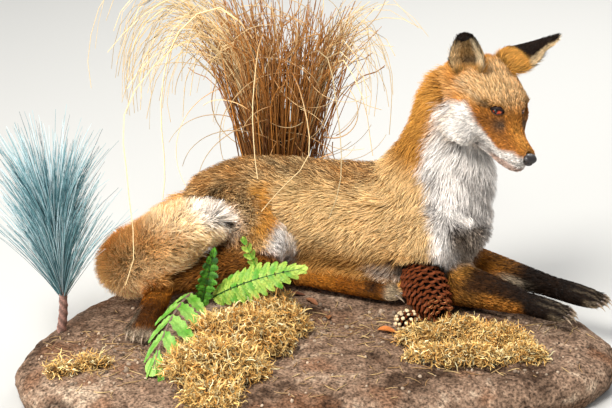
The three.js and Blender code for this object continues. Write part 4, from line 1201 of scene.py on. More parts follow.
def flat_places(points, low, high):
    """Places on a map of things that stand on the ground between two corners."""
    return 0.02 + 0.96 * np.clip((points[:, :2] - low) / (np.array(high) - low), 0, 1)


def ball_points(rings, spokes, margin=0.0):
    """A ball of radius 1 as rings of points from its top to its bottom, or margin short of them."""
    rise = np.linspace(margin, math.pi - margin, rings)[:, None]
    turn = turns(spokes)
    return grid_points(np.sin(rise) * np.cos(turn), np.sin(rise) * np.sin(turn), np.cos(rise))


# ---------------------------------------------------------------- eyes, nose and claws


def build_eyes():
    """Glass eyes with an amber iris and an upright pupil."""
    rings, spokes = 26, 40
    glass = patterned(
        "eye_glass", 0.06, 700, 0.25, Coat_Weight=0.5, Coat_Roughness=0.02, Specular_IOR_Level=0.3
    )
    for name, side in EYE_SIDES.items():
        back, up, out = eye_axes(side)
        ball = ball_points(rings, spokes) * EYE_RADIUS
        along, across, _ = ball.T
        ring = np.degrees(np.arccos(np.clip(ball[:, 2] / EYE_RADIUS, -1, 1)))
        iris = mix(srgb(168, 44, 12), srgb(220, 96, 26), smooth(-0.5, 0.7, noise(ball, 1.6, 3)))
        iris = mix(iris, srgb(70, 18, 8), smooth(30, 46, ring))
        # painted shadow of the upper lid over the top of the iris
        iris = mix(iris, srgb(30, 8, 5), 0.9 * smooth(0.2, 1.9, across + 0.35 * along))
        iris = mix(iris, srgb(26, 12, 8), smooth(50, 58, ring))
        slit = np.hypot((along - 1.6) / 2.4, across / 3.8)
        colour = mix(srgb(10, 7, 6), iris, smooth(0.9, 1.15, slit))
        points = from_head(EYE_AT * [1, side, 1] + ball @ np.array([back, up, out]))
        piece = new_mesh(f"eyeball_{name}", points, grid_faces(rings, spokes, True), colour)
        show(piece, "glass_eye", glass, f"eye_{name}")


LID_DARK = srgb(30, 20, 17)
LID_BROWN = srgb(128, 84, 48)
# Each ring of a lid: its reach against the slit's, its height over the eye, its shade and how brown it
# is below.
LID_RINGS = (
    (0.86, -0.5, 0.7, 0), (0.98, 0.25, 0.5, 0), (1.08, 1.1, 0.6, 0),
    (1.26, 1.6, 0.8, 0.4), (1.48, 1.5, 1.0, 0.9), (1.75, 0.6, 1.3, 1),
)


def build_lids():
    """Rims of bare dark skin round the eyes, pointed and drawn down at their inner corners."""
    turn = turns(56)
    a, b = np.cos(turn), np.sin(turn)
    slit = (1 - 0.55 * np.abs(a) ** 1.6) * np.where(b > 0, 0.92, 1.0)
    skin = patterned("lid_skin", 0.6, 1400, 0.25, bump=0.12, bump_scale=2600, Specular_IOR_Level=0.25)
    rings, colours = [], []
    for ring, height, shade, brown in LID_RINGS:
        x = EYE_REACH[0] * 0.8 * (ring + 0.16 * (ring > 0.9) * smooth(-0.5, -1, a)) * a
        y = EYE_REACH[1] * 0.82 * b * (slit + (ring - 1) * 0.9) - EYE_SLIT_TILT * x
        y += 0.5 * (ring - 1) * (b > 0) * b
        z = np.sqrt(np.maximum((EYE_RADIUS + height) ** 2 - x**2 - y**2, 4))
        rings.append(np.stack([x, y, z], -1))
        colours.append(mix(shade * LID_DARK, LID_BROWN, brown * smooth(0.2, -0.6, b)))
    faces = grid_faces(len(rings), len(turn), True)
    for name, side in EYE_SIDES.items():
        points = from_head(np.vstack(rings) @ eye_axes(side) + EYE_AT * [1, side, 1])
        show(new_mesh(f"eyelid_{name}", points, faces, np.vstack(colours)), "nose_leather", skin)


def build_nose():
    """The nose pad with its nostrils and the groove below them."""
    rings, spokes = 60, 72
    ball = ball_points(rings, spokes)[:, [2, 0, 1]]
    _, y, z = ball.T
    squareness = 1 + 0.1 * np.abs(y * z) * 2
    pad = ball * squareness[:, None] * np.where(z[:, None] > 0, [8.6, 10.2, 6.4], [8.0, 8.6, 9.6])
    pad[:, 1] *= 1 - 0.28 * smooth(-1, -8, pad[:, 2])
    holes = peak(mirrored(pad), [6.5, 4.6, -1.6], [4.0, 2.1, 2.2]).prod(1)
    slits = peak(mirrored(pad), [3.2, 8.6, -3.4], [4.6, 2.2, 1.1]).prod(1)
    groove = peak(y * 9, 0, 0.55) * smooth(2, -2, pad[:, 2]) * smooth(0, 5, pad[:, 0])
    pebbles = noise(pad, 0.9, 5) * 0.14
    inward = 3.4 * holes + 1.9 * slits + 0.9 * groove - pebbles
    pad -= unit(ball) * inward[:, None]
    pad = pad @ rotation("y", 0.3).T + [59.2, 0, -36.4]
    # painted shade in the nostrils and the groove below them
    dark = np.clip(holes + slits * 0.8 + groove * 0.7, 0, 1)
    colour = mix(mix(srgb(52, 46, 46), srgb(38, 32, 32), smooth(-0.4, 0.5, z)), srgb(8, 6, 6), dark)
    piece = new_mesh("nose_pad", from_head(pad), grid_faces(rings, spokes, True), colour)
    leather = patterned("nose_leather", 0.4, 1100, 0.2, bump=0.2, bump_scale=1900, Coat_Weight=0.3)
    show(piece, "nose_leather", leather, "nose")


# Across and forward of the toes' middles, in half widths of the paw, as in the part.
TOES = ((-0.78, -0.2), (-0.27, 0), (0.27, 0), (0.78, -0.2))
# Where each paw starts and ends, and half its width.
PAWS = {
    "hind_paw_right": ((-234, 8, 96), (-227, -112, 74), 20),
    "hind_paw_left": ((-74, 108, 84), (74, 99, 76), 20),
    "fore_paw_right": ((232, 104, 84), (304, 98, 74), 19),
    "fore_paw_left": ((272, 168, 80), (342, 156, 72), 19),
}


def paw_axes(name):
    """A paw's front end, its way, its left side, its upper side and half its width."""
    start, end, width = PAWS[name]
    way = unit(np.subtract(end, start).astype(float))
    side = unit(np.cross([0, 0, 1], way))
    return np.array(end, float), way, side, np.cross(way, side), width


def build_claws():
    """A curved, tapering claw at the front of each toe."""
    parts = []
    rings, spokes = 9, 10
    t = np.linspace(0, 1, rings)
    turn = turns(spokes)
    for name in PAWS:
        end, way, side, top, width = paw_axes(name)
        for across, forward in TOES:
            at = end + side * across * width + way * (forward * width - 6 + width * 0.36) + top * 2.2
            spread_way = unit(way + side * across * 0.12)
            line = at + spread_way * (14.5 * t)[:, None] + top * (1.2 * t - 8.2 * t**2)[:, None]
            radius = 2.3 * (1 - t**1.7) + 0.12
            arm = 0.8 * np.cos(turn)[:, None] * side + np.sin(turn)[:, None] * top
            points = line[:, None] + radius[:, None, None] * arm
            colour = mix(srgb(74, 56, 44), srgb(206, 184, 158), smooth(0.05, 0.75, np.repeat(t, spokes)))
            colour = mix(colour, srgb(120, 92, 70), 0.35 * np.tile(smooth(0.2, 1, np.sin(turn)), rings))
            parts.append((points, grid_faces(rings, spokes, True), colour))
    horn = patterned("claw_horn", 0.32, 900, 0.15, bump=0.06, bump_scale=1800, Coat_Weight=0.2)
    show(joined_mesh("claws", parts), "nose_leather", horn)


# ---------------------------------------------------------------- the base

ROCK = srgb(140, 114, 94)
ROCK_DARK = srgb(62, 44, 32)
ROCK_PALE = srgb(208, 184, 158)
ROCK_VOXEL = 7.4
# The table of the rock's heights: its cells' size, its corner and its cells each way.
HEIGHT_CELL = 5
FIELD_LOW = np.array([-460.0, -330.0])
FIELD_SIZE = (190, 130)


def field_cell(points):
    """The cell of the table of heights that each place is in."""
    cell = np.floor((points[:, :2] - FIELD_LOW) / HEIGHT_CELL).astype(int)
    return tuple(np.clip(cell, 0, np.array(FIELD_SIZE) - 1).T)


def build_base():
    """The modelled rock, and a table of its top's height."""
    points, faces, _ = node_arrays(["base"])
    rock, quads = remeshed(points, faces, ROCK_VOXEL)
    rock, triangles, edges = refined(rock, quads, rock[:, 2] > 14)
    high = smooth(6, 16, rock[:, 2])
    rock = rock + (spread(rock, edges, 14) - rock) * high[:, None]
    normals = point_normals(rock, triangles)
    sheared = rock * [1, 1, 3.2] + np.stack([8 * noise(rock, 60, 9)] * 3, 1)
    lumps = 2.6 * noise(rock, 55, 1) + 1.9 * rough(rock, 17, 2)
    seams = peak(noise(sheared, 120, 4), 0, 0.035) * smooth(-0.1, 0.4, noise(rock, 90, 6))
    cracks = peak(noise(sheared, 46, 7), 0, 0.03) * smooth(0.1, 0.5, noise(rock, 70, 8))
    grit = 0.9 * rough(rock, 7, 11)
    rise = (lumps - 4.6 * seams - 2.6 * cracks + grit - 1.4) * high
    rock = rock + normals * rise[:, None]
    tone = rough(rock, 80, 12) + 0.9 * rough(rock, 8, 13)
    colour = mix(ROCK, ROCK_DARK, smooth(0.1, -0.8, tone) * 0.9)
    colour = mix(colour, ROCK_PALE, smooth(0.1, 0.9, tone) * 0.8)
    colour = mix(colour, srgb(126, 84, 56), 0.5 * smooth(0.2, 0.7, noise(rock, 38, 14)))
    colour = mix(colour, ROCK_DARK, 0.5 * smooth(30, 8, rock[:, 2]))
    colour = mix(colour, srgb(52, 36, 27), np.clip(seams + 0.7 * cracks, 0, 1) * 0.85)
    piece = new_mesh("rock", rock, triangles, colour)
    surface = patterned("modelled_rock", 0.93, 280, 0.8, bump=3.0, bump_scale=300, Specular_IOR_Level=0.12)
    show(piece, "modelled_rock", surface, "base")
    table = np.zeros(FIELD_SIZE)
    np.maximum.at(table, field_cell(rock), rock[:, 2])
    return table


def ground(table, points):
    """The height of the base's top under each place."""
    return table[field_cell(points)]


MOSS_TONES = np.array([srgb(246, 212, 140), srgb(228, 184, 108), srgb(204, 152, 80), srgb(255, 242, 190)])
MOSS_VOXEL = 5
MOSS_FLOOR = 51.0  # no fibre hangs lower
FIBRE_STEPS = 7


def curls(roots, ways, length, steps, wildness):
    """Lines of some steps that start at roots and wander more the wilder they are."""
    way = unit(ways)
    lines = [roots]
    bend = draw.normal(0, wildness, roots.shape)
    for _ in range(steps - 1):
        lines.append(lines[-1] + way * (length / (steps - 1))[:, None])
        bend = 0.5 * bend + draw.normal(0, wildness, roots.shape)
        way = unit(way + bend)
    return np.stack(lines, 1)


def build_moss(name, per_cm2, length, wildness, thick_fibre):
    """A cushion of dry moss: a rough mound with curly branchlets all over it."""
    points, faces, _ = node_arrays([name])
    mound, triangles = remeshed(points, faces, MOSS_VOXEL)
    mound, triangles, edges = refined(mound, triangles, mound[:, 2] > 0)
    mound = spread(mound, edges, 10)
    normals = point_normals(mound, triangles)
    mound = mound + normals * (3.4 * rough(mound, 16, 21) - 4.2)[:, None]
    normals = point_normals(mound, triangles)
    tone = rough(mound, 7, 22)
    colour = mix(srgb(120, 78, 34), srgb(58, 36, 16), smooth(0.3, -0.5, tone))
    under = new_mesh(f"{name}_heart", mound, triangles, colour)
    show(under, "dry_moss", patterned("moss_heart", 0.95, 400, 0.4, bump=1.5, bump_scale=600), name)
    thick = np.full(len(mound), float(per_cm2)) * smooth(-0.35, 0.0, normals[:, 2])
    picks, weights = scatter(mound, triangles, thick)
    roots = at_roots(mound, triangles, picks, weights)
    up = unit(at_roots(normals, triangles, picks, weights))
    count = len(roots)
    side = unit(np.cross(up, draw.normal(0, 1, (count, 3))))
    ways = side + up * draw.uniform(0.0, 0.9, count)[:, None]
    lines = curls(roots - up, ways, draw.uniform(0.5, 1.2, count) * length, FIBRE_STEPS, wildness)
    lines[:, :, 2] = np.maximum(lines[:, :, 2], MOSS_FLOOR)
    radii = thick_fibre * draw.uniform(0.7, 1.25, count)[:, None] * [0.9, 1.1, 1, 1, 1.1, 0.9, 0.4]
    tones = MOSS_TONES[draw.choice(4, count, p=(0.34, 0.32, 0.2, 0.14))]
    tones = tones * np.exp(draw.normal(-0.1, 0.3, count))[:, None]
    # each fibre is darker towards its root: painted shade deep in the cushion
    colours = tones[:, None] * np.array([0.12, 0.34, 0.66, 0.9, 1.0, 1.1, 1.15])[:, None]
    low, high = mound.min(0)[:2], mound.max(0)[:2]
    fibres = tubes(f"{name}_fibres", lines, radii, colours, flat_places(roots, low, high), 2)
    show(fibres, "dry_moss", patterned("moss_fibre", 0.8, 900, 0.15, Specular_IOR_Level=0.25))


CONE_RED = srgb(40, 14, 6)
# near black: painted shade between the scales and on the core
CONE_SHADOW = srgb(10, 4, 3)
CONE_LIP = srgb(142, 72, 36)
CONE_KNOB = srgb(240, 214, 170)
GOLDEN_ANGLE = math.radians(137.508)  # from each scale or knob to the next


def cone_frame(name):
    """A cone's middle, its way, two directions across it, its length and its radius."""
    at, way, length, radius = CONES[name]
    way = unit(np.array(way))
    first = unit(np.cross(way, [0.1, 0.2, 1.0]))
    return np.array(at), way, first, np.cross(way, first), length, radius


def build_cone(name, scales, size, tip_colour):
    """A pine cone: woody scales on a spiral, each one curved, thicker and paler at its lip."""
    at, way, first, second, length, radius = cone_frame(name)
    along, across = 9, 7
    faces = grid_faces(along, across)
    u = (1 - (1 - np.linspace(0, 1, along)) ** 1.6)[:, None] * np.ones(across)
    v = np.ones(along)[:, None] * np.linspace(-1, 1, across)
    taper = np.sqrt(np.maximum(1 - (np.maximum(u - 0.6, 0) / 0.42) ** 2, 0.05))
    parts = []
    for number in range(scales):
        t = (number + 0.5) / scales
        share = 0.04 + 0.94 * t
        turn = number * GOLDEN_ANGLE
        egg = cone_egg(share)
        height = (share - CONE_MIDDLE) * length
        out = first * math.cos(turn) + second * math.sin(turn)
        flank = np.cross(way, out)
        reach = radius * egg
        opening = 0.12 + 0.75 * smooth(0.78, 0.96, t)
        half = size * (0.3 + 0.34 * egg) * draw.uniform(0.94, 1.06)
        width = half * (0.5 + 0.5 * u**0.7) * taper
        rise = height - 0.3 * size + u * size * 1.2
        arm = reach * (0.62 + 0.3 * u**0.9) + opening * size * 0.42 * u**3 + 0.8
        arm = arm - 0.2 * half * v**2 * (0.4 + u) + 0.8 * peak(v, 0, 0.3) * u
        for_lip = smooth(0.72, 0.95, u)
        edge = np.maximum(smooth(0.88, 1.0, u), smooth(0.7, 1.0, np.abs(v)) * smooth(0.6, 0.8, u))
        rim = []
        for layer, thick in enumerate((1.1, -1.1)):
            lift = thick * (0.5 + 0.9 * for_lip)
            place = (
                at
                + out * (arm + lift * 0.8)[..., None]
                + way * (rise - lift * 0.45)[..., None]
                + flank * (width * v)[..., None]
            )
            # each scale is near black where the scales above cover it: painted shade between them
            shade = mix(CONE_SHADOW, CONE_RED, smooth(0.6, 0.9, u))
            shade = mix(shade, CONE_LIP, edge**2 * (0.8 if layer == 0 else 0.05))
            shade = mix(shade, tip_colour, smooth(0.8, 0.95, t) * smooth(0.6, 0.9, u))
            shade = shade * draw.uniform(0.75, 1.25)
            parts.append((place, faces if layer else faces[:, ::-1], shade))
            rim.append(np.concatenate([place[:, 0], place[-1, 1:], place[-2::-1, -1]]))
        parts.append((np.vstack(rim), grid_faces(2, len(rim[0])), CONE_LIP * 0.55))
    rings, spokes = 16, 20
    t = np.linspace(0.001, 0.999, rings)
    turn = turns(spokes)[:, None]
    arm = np.cos(turn) * first + np.sin(turn) * second
    axis = at + way * ((t - CONE_MIDDLE) * length)[:, None]
    core = axis[:, None] + (radius * 0.66 * cone_egg(t))[:, None, None] * arm
    # the core inside the scales is painted in shade
    parts.append((core, grid_faces(rings, spokes, True), CONE_SHADOW))
    wood = patterned("cone_scales", 0.6, 350, 0.4, bump=0.35, bump_scale=800, Specular_IOR_Level=0.12)
    show(joined_mesh(f"{name}_scales", parts), "cone_scales", wood, name)


def build_knobs(name, count, size):
    """The pale, blunt knobs on a small closed cone's scales."""
    at, way, first, second, length, radius = cone_frame(name)
    rings, spokes = 9, 12
    ball = ball_points(rings, spokes, 0.001)
    parts = []
    for number in range(count):
        share = (number + 0.5) / count
        turn = number * GOLDEN_ANGLE
        out = first * math.cos(turn) + second * math.sin(turn)
        egg = math.sin(math.pi * (0.06 + 0.88 * share)) ** 0.6
        middle = at + way * (share - 0.5) * length * 0.94 + out * radius * egg
        wide = size * draw.uniform(0.8, 1.15)
        shade = mix(CONE_RED, CONE_KNOB, smooth(-0.5, 0.3, ball @ out)) * draw.uniform(0.7, 1.1)
        parts.append((middle + ball * wide * [1, 1, 0.9], grid_faces(rings, spokes, True), shade))
    knobs = patterned("cone_knobs", 0.7, 500, 0.3, bump=0.25, bump_scale=900)
    show(joined_mesh(f"{name}_knobs", parts), "cone_scales", knobs)


FERN_LIME = srgb(178, 200, 84)
FERN_MINT = srgb(150, 194, 92)
FERN_GREEN = srgb(92, 160, 40)
FERN_DARK = srgb(34, 80, 14)
FERN_RIB = srgb(128, 104, 92)

# Each frond: where its rib starts and ends, its width, how far it arches, its pairs of lobes, its tilt,
# its two greens, its rib's colour and half width, a lobe's width against its share of the rib, how far
# the lobes lean forward, and the lobes' reach on the near side against the other.
FERNS = {
    "fern_right": (
        (-158, -16, 92), (-37, -6, 145), 48, 16, 12, 0.9,
        FERN_LIME, FERN_GREEN, FERN_DARK, 1.4, 0.66, 0.75, 1.0,
    ),
    "fern_up": (
        (-104, 6, 134), (-120, 2, 176), 16, 0, 4, -1.2,
        FERN_LIME, FERN_GREEN, FERN_GREEN, 1.0, 0.5, 0.5, 1.0,
    ),
    "fern_down": (
        (-182, -34, 104), (-180, -190, 68), 92, 16, 5, 0.12,
        FERN_MINT, FERN_GREEN, FERN_RIB, 2.6, 0.44, 1.6, 0.5,
    ),
    "fern_dark": (
        (-172, -26, 82), (-152, -26, 166), 26, 0, 8, -1.2,
        FERN_GREEN, FERN_DARK, FERN_DARK, 1.2, 0.6, 0.4, 1.0,
    ),
}


def build_fern(name):
    """A frond: lobes in pairs with wavy, toothed edges along a midrib, bent along an arc."""
    root, tip, width, lift, pairs, tilt, *rest = FERNS[name]
    main, second, rib_colour, rib_half, lobe_share, sweep, near = rest
    root, tip = np.array(root, float), np.array(tip, float)
    length = np.linalg.norm(tip - root)
    way = unit(tip - root)
    yaw, pitch = math.atan2(way[1], way[0]), math.asin(way[2])
    turn = rotation("z", yaw) @ rotation("y", -pitch) @ rotation("x", tilt)
    along, across = 18, 9
    s = np.linspace(0, 1, along)[:, None]
    c = np.linspace(-1, 1, across)
    faces = grid_faces(along, across)
    parts = []

    def half(t):
        """The frond's half width at a share of its length."""
        return width / 2 * math.sin(math.pi * (0.16 + 0.8 * t)) ** 0.8

    def placed(local):
        """Points along the rib and across it, bent and set where the frond grows."""
        t = local[:, 0] / length
        local = local.copy()
        local[:, 2] += lift * 4 * t * (1 - t) - np.abs(local[:, 1]) * 0.22
        return local @ turn.T + root

    for k in range(pairs):
        for side in (-1, 1):
            at = (k + 0.42) / pairs * length
            reach = half((k + 0.6) / pairs) * draw.uniform(0.92, 1.04) * (near if side < 0 else 1)
            broad = length / pairs * lobe_share
            teeth = 1 + 0.16 * np.sin(s * 30 + k) * (np.abs(c) > 0.9)
            body = broad * np.sin(math.pi * (0.12 + 0.86 * s)) ** 0.55 * teeth
            body = np.maximum(body, 0.5)
            x = at + s * broad * sweep * 1.6 + c * body * (1 - 0.2 * s)
            y = side * (0.6 + s * reach + 0 * c)
            z = 0.16 * body * c**2 + 0.9 * np.sin(s * 9 + c * 2 + k) * s
            z = z - 3.0 * s**2 * draw.uniform(0.2, 1.6)
            local = grid_points(x, y, z)
            shade = mix(main, second, smooth(-0.5, 0.8, noise(local, 9, k + side)))
            veins = 0.5 + 0.5 * np.cos((s * 16 - 3 * np.abs(c)) * 2)
            shade = mix(shade, second * 0.75, 0.35 * veins.ravel())
            shade = mix(shade, second * 0.7, 0.6 * np.tile(peak(c, 0, 0.16), along))
            parts.append((placed(local), faces if side > 0 else faces[:, ::-1], shade))
    x = length * (0.9 + 0.16 * s) + 0 * c
    y = width * 0.14 * c * np.sin(math.pi * (0.2 + 0.78 * s)) ** 0.7
    parts.append((placed(grid_points(x, y, 0)), faces, main))
    rings, spokes = 24, 8
    t = np.linspace(0, 1.0, rings)[:, None]
    angle = turns(spokes)
    rib_wide, rib_high = rib_half * (1 - 0.7 * t), 1.3 - 0.9 * t
    rib = grid_points(t * length, np.cos(angle) * rib_wide, np.sin(angle) * rib_high)
    parts.append((placed(rib), grid_faces(rings, spokes, True), rib_colour))
    glow = {"Subsurface_Weight": 0.12, "Subsurface_Scale": 0.002}
    leaf = patterned("fern_leaf", 0.5, 500, 0.25, bump=0.4, bump_scale=900, **glow)
    show(joined_mesh(f"{name}_frond", parts), "fern_leaf", leaf, name)


GRASS_ROOT = np.array([-140.0, 238.0, 56.0])
GRASS_BROWN = srgb(84, 44, 14)
GRASS_GOLD = srgb(172, 112, 46)
GRASS_PALE = srgb(236, 208, 156)
GRASS_TOP = 470  # no strand stands much higher
GRASS_REACH = 66  # how far behind its root the bundle's strands may stand
GRASS_SPAN = 304  # how far to its left
GRASS_STEPS = 18
GRASS_STEMS = 440
GRASS_CURLS = 90
STEM, BENT, CURL, FALLEN = range(4)  # the kinds of grass
# How many strands bend out of the bundle and over, and the places that they pass.
GRASS_BENDS = (
    (64, [
        (-172, 232, 262), (-230, 232, 390), (-300, 222, 462),
        (-356, 205, 440), (-384, 196, 350), (-380, 192, 262),
    ]),
    (44, [(-176, 236, 300), (-236, 226, 420), (-296, 206, 440), (-344, 182, 372), (-348, 172, 290)]),
    (34, [(-178, 222, 330), (-224, 210, 424), (-262, 190, 420), (-284, 178, 330), (-286, 174, 250)]),
    (36, [(-84, 232, 330), (-46, 240, 420), (16, 236, 458), (66, 230, 430), (86, 228, 390)]),
    (34, [
        (-96, 240, 280), (-56, 246, 380), (-20, 244, 430),
        (14, 240, 380), (22, 238, 300), (14, 236, 252),
    ]),
)
# Single strands that fall in front of the fox.
FALLEN_STRANDS = (
    [
        (-150, 230, 330), (-210, 200, 430), (-262, 150, 400),
        (-268, 100, 320), (-250, 60, 240), (-240, 20, 210),
    ],
    [(-140, 230, 340), (-150, 190, 400), (-142, 120, 330), (-128, 80, 270), (-118, 62, 238)],
    [(-120, 232, 330), (-60, 190, 380), (-20, 120, 300), (-6, 74, 240), (-16, 52, 196)],
    [
        (-150, 226, 320), (-232, 160, 400), (-300, 60, 330),
        (-272, -20, 236), (-250, -62, 170), (-262, -70, 120),
    ],
    [(-130, 232, 330), (-90, 170, 330), (-60, 110, 262), (-90, 66, 222), (-110, 50, 196)],
)


def held_in(offsets, reach):
    """Each line's offsets, shrunk together so that none is beyond reach."""
    return offsets * np.minimum(1, reach / np.maximum(offsets.max(1), 1))[:, None]


def build_grass():
    """The bundle of dry grass: stems that fan out, long pale strands that bend over and hang, loose
    curls among them, and the fallen strands."""
    t = np.linspace(0, 1, GRASS_STEPS)
    lines, kinds = [], []
    for _ in range(GRASS_STEMS):
        turn, share = draw.uniform(0, 2 * math.pi), math.sqrt(draw.random())
        root = GRASS_ROOT + [22 * share * math.cos(turn), 18 * share * math.sin(turn), 0]
        tall = draw.uniform(300, 402)
        lean = np.array([100 * share * math.cos(turn), 44 * share * math.sin(turn), 0])
        lean *= draw.uniform(0.8, 1.2)
        sway = draw.normal(0, 9, 3) * [1, 0.6, 0]
        line = (
            root
            + np.outer(t**1.3, lean)
            + np.outer(t, [0, 0, tall])
            + np.outer(np.sin(t * math.pi * draw.uniform(0.8, 1.8)), sway)
        )
        hook = draw.uniform(-34, 34)
        line[:, 0] += hook * smooth(0.72, 1, t) ** 1.4
        line[:, 2] -= abs(hook) * 0.8 * smooth(0.8, 1, t) ** 2
        lines.append(line)
        kinds.append(STEM)
    for count, bends in GRASS_BENDS:
        for _ in range(count):
            root = GRASS_ROOT + draw.normal(0, 10, 3) * [1, 0.8, 0]
            wander = np.cumsum(draw.normal(0, 9, (len(bends), 3)) * [1, 0.9, 0.6], axis=0)
            scale = draw.uniform(0.8, 1.02)
            path = np.vstack([root, GRASS_ROOT + (np.array(bends) - GRASS_ROOT) * scale + wander])
            line = spline(path, 60)
            cut = int(60 * draw.uniform(0.62, 1))
            lines.append(spline(line[:cut:4], GRASS_STEPS))
            kinds.append(BENT)
    for _ in range(GRASS_CURLS):
        start = GRASS_ROOT + [draw.uniform(-90, 90), draw.uniform(-40, 20), draw.uniform(170, 360)]
        way = unit(draw.normal(0, 1, 3) * [1, 0.35, 0.8])
        side = unit(np.cross(way, [draw.normal(0, 0.3), 1, draw.normal(0, 0.3)]))
        bend = draw.uniform(40, 110)
        arc = draw.uniform(0.8, 2.6) * t[:, None]
        lines.append(start + bend * (np.sin(arc) * way + (1 - np.cos(arc)) * side))
        kinds.append(CURL)
    for path in FALLEN_STRANDS:
        lines.append(spline([GRASS_ROOT + [0, 0, 120], *path], GRASS_STEPS))
        kinds.append(FALLEN)
    lines, kinds = np.array(lines), np.array(kinds)
    lines[:, :, 0] = GRASS_ROOT[0] - held_in(GRASS_ROOT[0] - lines[:, :, 0], GRASS_SPAN)
    lines[:, :, 1] = GRASS_ROOT[1] + held_in(lines[:, :, 1] - GRASS_ROOT[1], GRASS_REACH)
    uneven_top = GRASS_TOP - 4 * noise(lines.reshape(-1, 3), 30).reshape(lines.shape[:2])
    lines[:, :, 2] = np.minimum(lines[:, :, 2], uneven_top)
    thick = np.where(kinds == STEM, 1.1, np.where(kinds == FALLEN, 1.3, 0.95))
    thick = thick * draw.uniform(0.7, 1.25, len(lines))
    radii = thick[:, None] * (1 - 0.5 * t)
    light = t[None] * np.where(kinds == STEM, 0.58, 1.4)[:, None]
    light = np.clip(light + draw.normal(0, 0.14, (len(lines), 1)), 0, 1)
    light = np.where((kinds == CURL)[:, None], 0.6 + 0.3 * t, light)
    colours = mix(GRASS_BROWN, GRASS_GOLD, smooth(0.05, 0.5, light))
    colours = mix(colours, GRASS_PALE, smooth(0.5, 0.95, light))
    colours = colours * np.exp(draw.normal(0, 0.22, (len(lines), 1, 1)))
    places = np.stack([draw.uniform(0.02, 0.98, len(lines)), draw.uniform(0.02, 0.98, len(lines))], 1)
    stems = tubes("grass_stems", lines, radii, colours, places)
    show(stems, "dry_stalks", patterned("dry_stalks", 0.6, 300, 0.15), "dry_grass")


PINE_CROWN = np.array([-341.0, -96.0, 106.0])
PINE_STEM = [(-348, -92, 52), (-343, -94, 80), (-341, -96, 106), (-344, -95, 150), (-351, -93, 226)]
NEEDLES = 1300
NEEDLE_TONES = np.array([srgb(150, 196, 204), srgb(84, 138, 148), srgb(222, 246, 252), srgb(36, 78, 88)])


def level(turn, depth=1.0):
    """Level directions at some angles, drawn in from front to back by depth."""
    return np.stack([np.cos(turn), depth * np.sin(turn), 0 * turn], -1)


def build_pine():
    """The pine sprig: a scaly stem, and a sheaf of thin blue needles."""
    t = np.linspace(0, 1, 6)
    start = draw.random(NEEDLES) ** 1.3
    turn = draw.uniform(0, 2 * math.pi, NEEDLES)
    spread_out = np.sqrt(draw.random(NEEDLES))
    roots = PINE_CROWN + np.stack([-10 * start, 3 * start, start * 120 - 4], 1)
    roots += level(turn, 0.7) * (2 + 12 * start * spread_out)[:, None]
    wide = np.where(start < 0.1, 0.55, 0.36) + draw.normal(0, 0.06, NEEDLES)
    tall = draw.uniform(92, 150, NEEDLES)
    outward = level(turn, 0.72) * (spread_out * tall * wide * 1.18)[:, None]
    upward = np.stack([-0.06 * tall, 0.02 * tall, tall], 1)
    lines = (
        roots[:, None]
        + outward[:, None] * (t + 0.25 * t**2)[:, None]
        + upward[:, None] * (t - 0.14 * t**2 * spread_out[:, None])[:, :, None]
    )
    lines += np.sin(t * math.pi)[:, None] * draw.normal(0, 2.2, (NEEDLES, 1, 3))
    radii = draw.uniform(0.45, 0.75, NEEDLES)[:, None] * (1 - 0.7 * t)
    tones = NEEDLE_TONES[draw.choice(4, NEEDLES, p=(0.34, 0.26, 0.24, 0.16))]
    colours = tones[:, None] * (0.6 + 0.5 * t)[:, None]
    places = 0.5 + 0.46 * level(turn)[:, :2] * spread_out[:, None]
    needles = tubes("needles", lines, radii, colours, places)
    show(needles, "blue_needles", patterned("blue_needles", 0.5, 500, 0.12), "pine_needles")
    rings, spokes = 90, 14
    t = np.linspace(0, 1, rings)
    line = spline(PINE_STEM, rings)
    turn = turns(spokes)
    radius = np.interp(t, [0, 0.3, 1], [6.2, 5.2, 1.2])[:, None]
    scales = 1 + 0.16 * np.maximum(0, np.sin(26 * math.pi * t[:, None] + 3 * turn)) * (t[:, None] < 0.5)
    bark = line[:, None] + (radius * scales)[..., None] * level(turn)
    shade = mix(srgb(176, 132, 118), srgb(112, 84, 74), smooth(1.12, 1.0, scales))
    stem = new_mesh("pine_bark", bark, grid_faces(rings, spokes, True), shade)
    show(stem, "bark", patterned("bark", 0.8, 500, 0.3, bump=0.5, bump_scale=900), "pine_stem")


STRAW = srgb(224, 194, 138)
LITTER_FLOOR = 50  # nothing lies lower than this height
STRAW_STEPS = 5
# Where loose bits lie: middle, reach both ways, and how many.
LITTER_FIELDS = (
    ((20, -110), (330, 110), 380),
    ((-300, -170), (90, 80), 210),
    ((40, 20), (110, 50), 200),
    ((300, 20), (110, 90), 120),
    ((60, 230), (300, 60), 90),
)
# Place, heading, length, width and colour of each dead leaf.
LEAVES = (
    ((78, 6), 0.3, 26, 15, srgb(214, 128, 62)),
    ((90, -12), 2.4, 24, 13, srgb(226, 186, 140)),
    ((-70, 84), 0.5, 26, 11, srgb(120, 74, 50)),
    ((-44, 70), -0.4, 22, 10, srgb(158, 104, 70)),
    ((-10, 30), 1.9, 18, 9, srgb(170, 112, 66)),
)


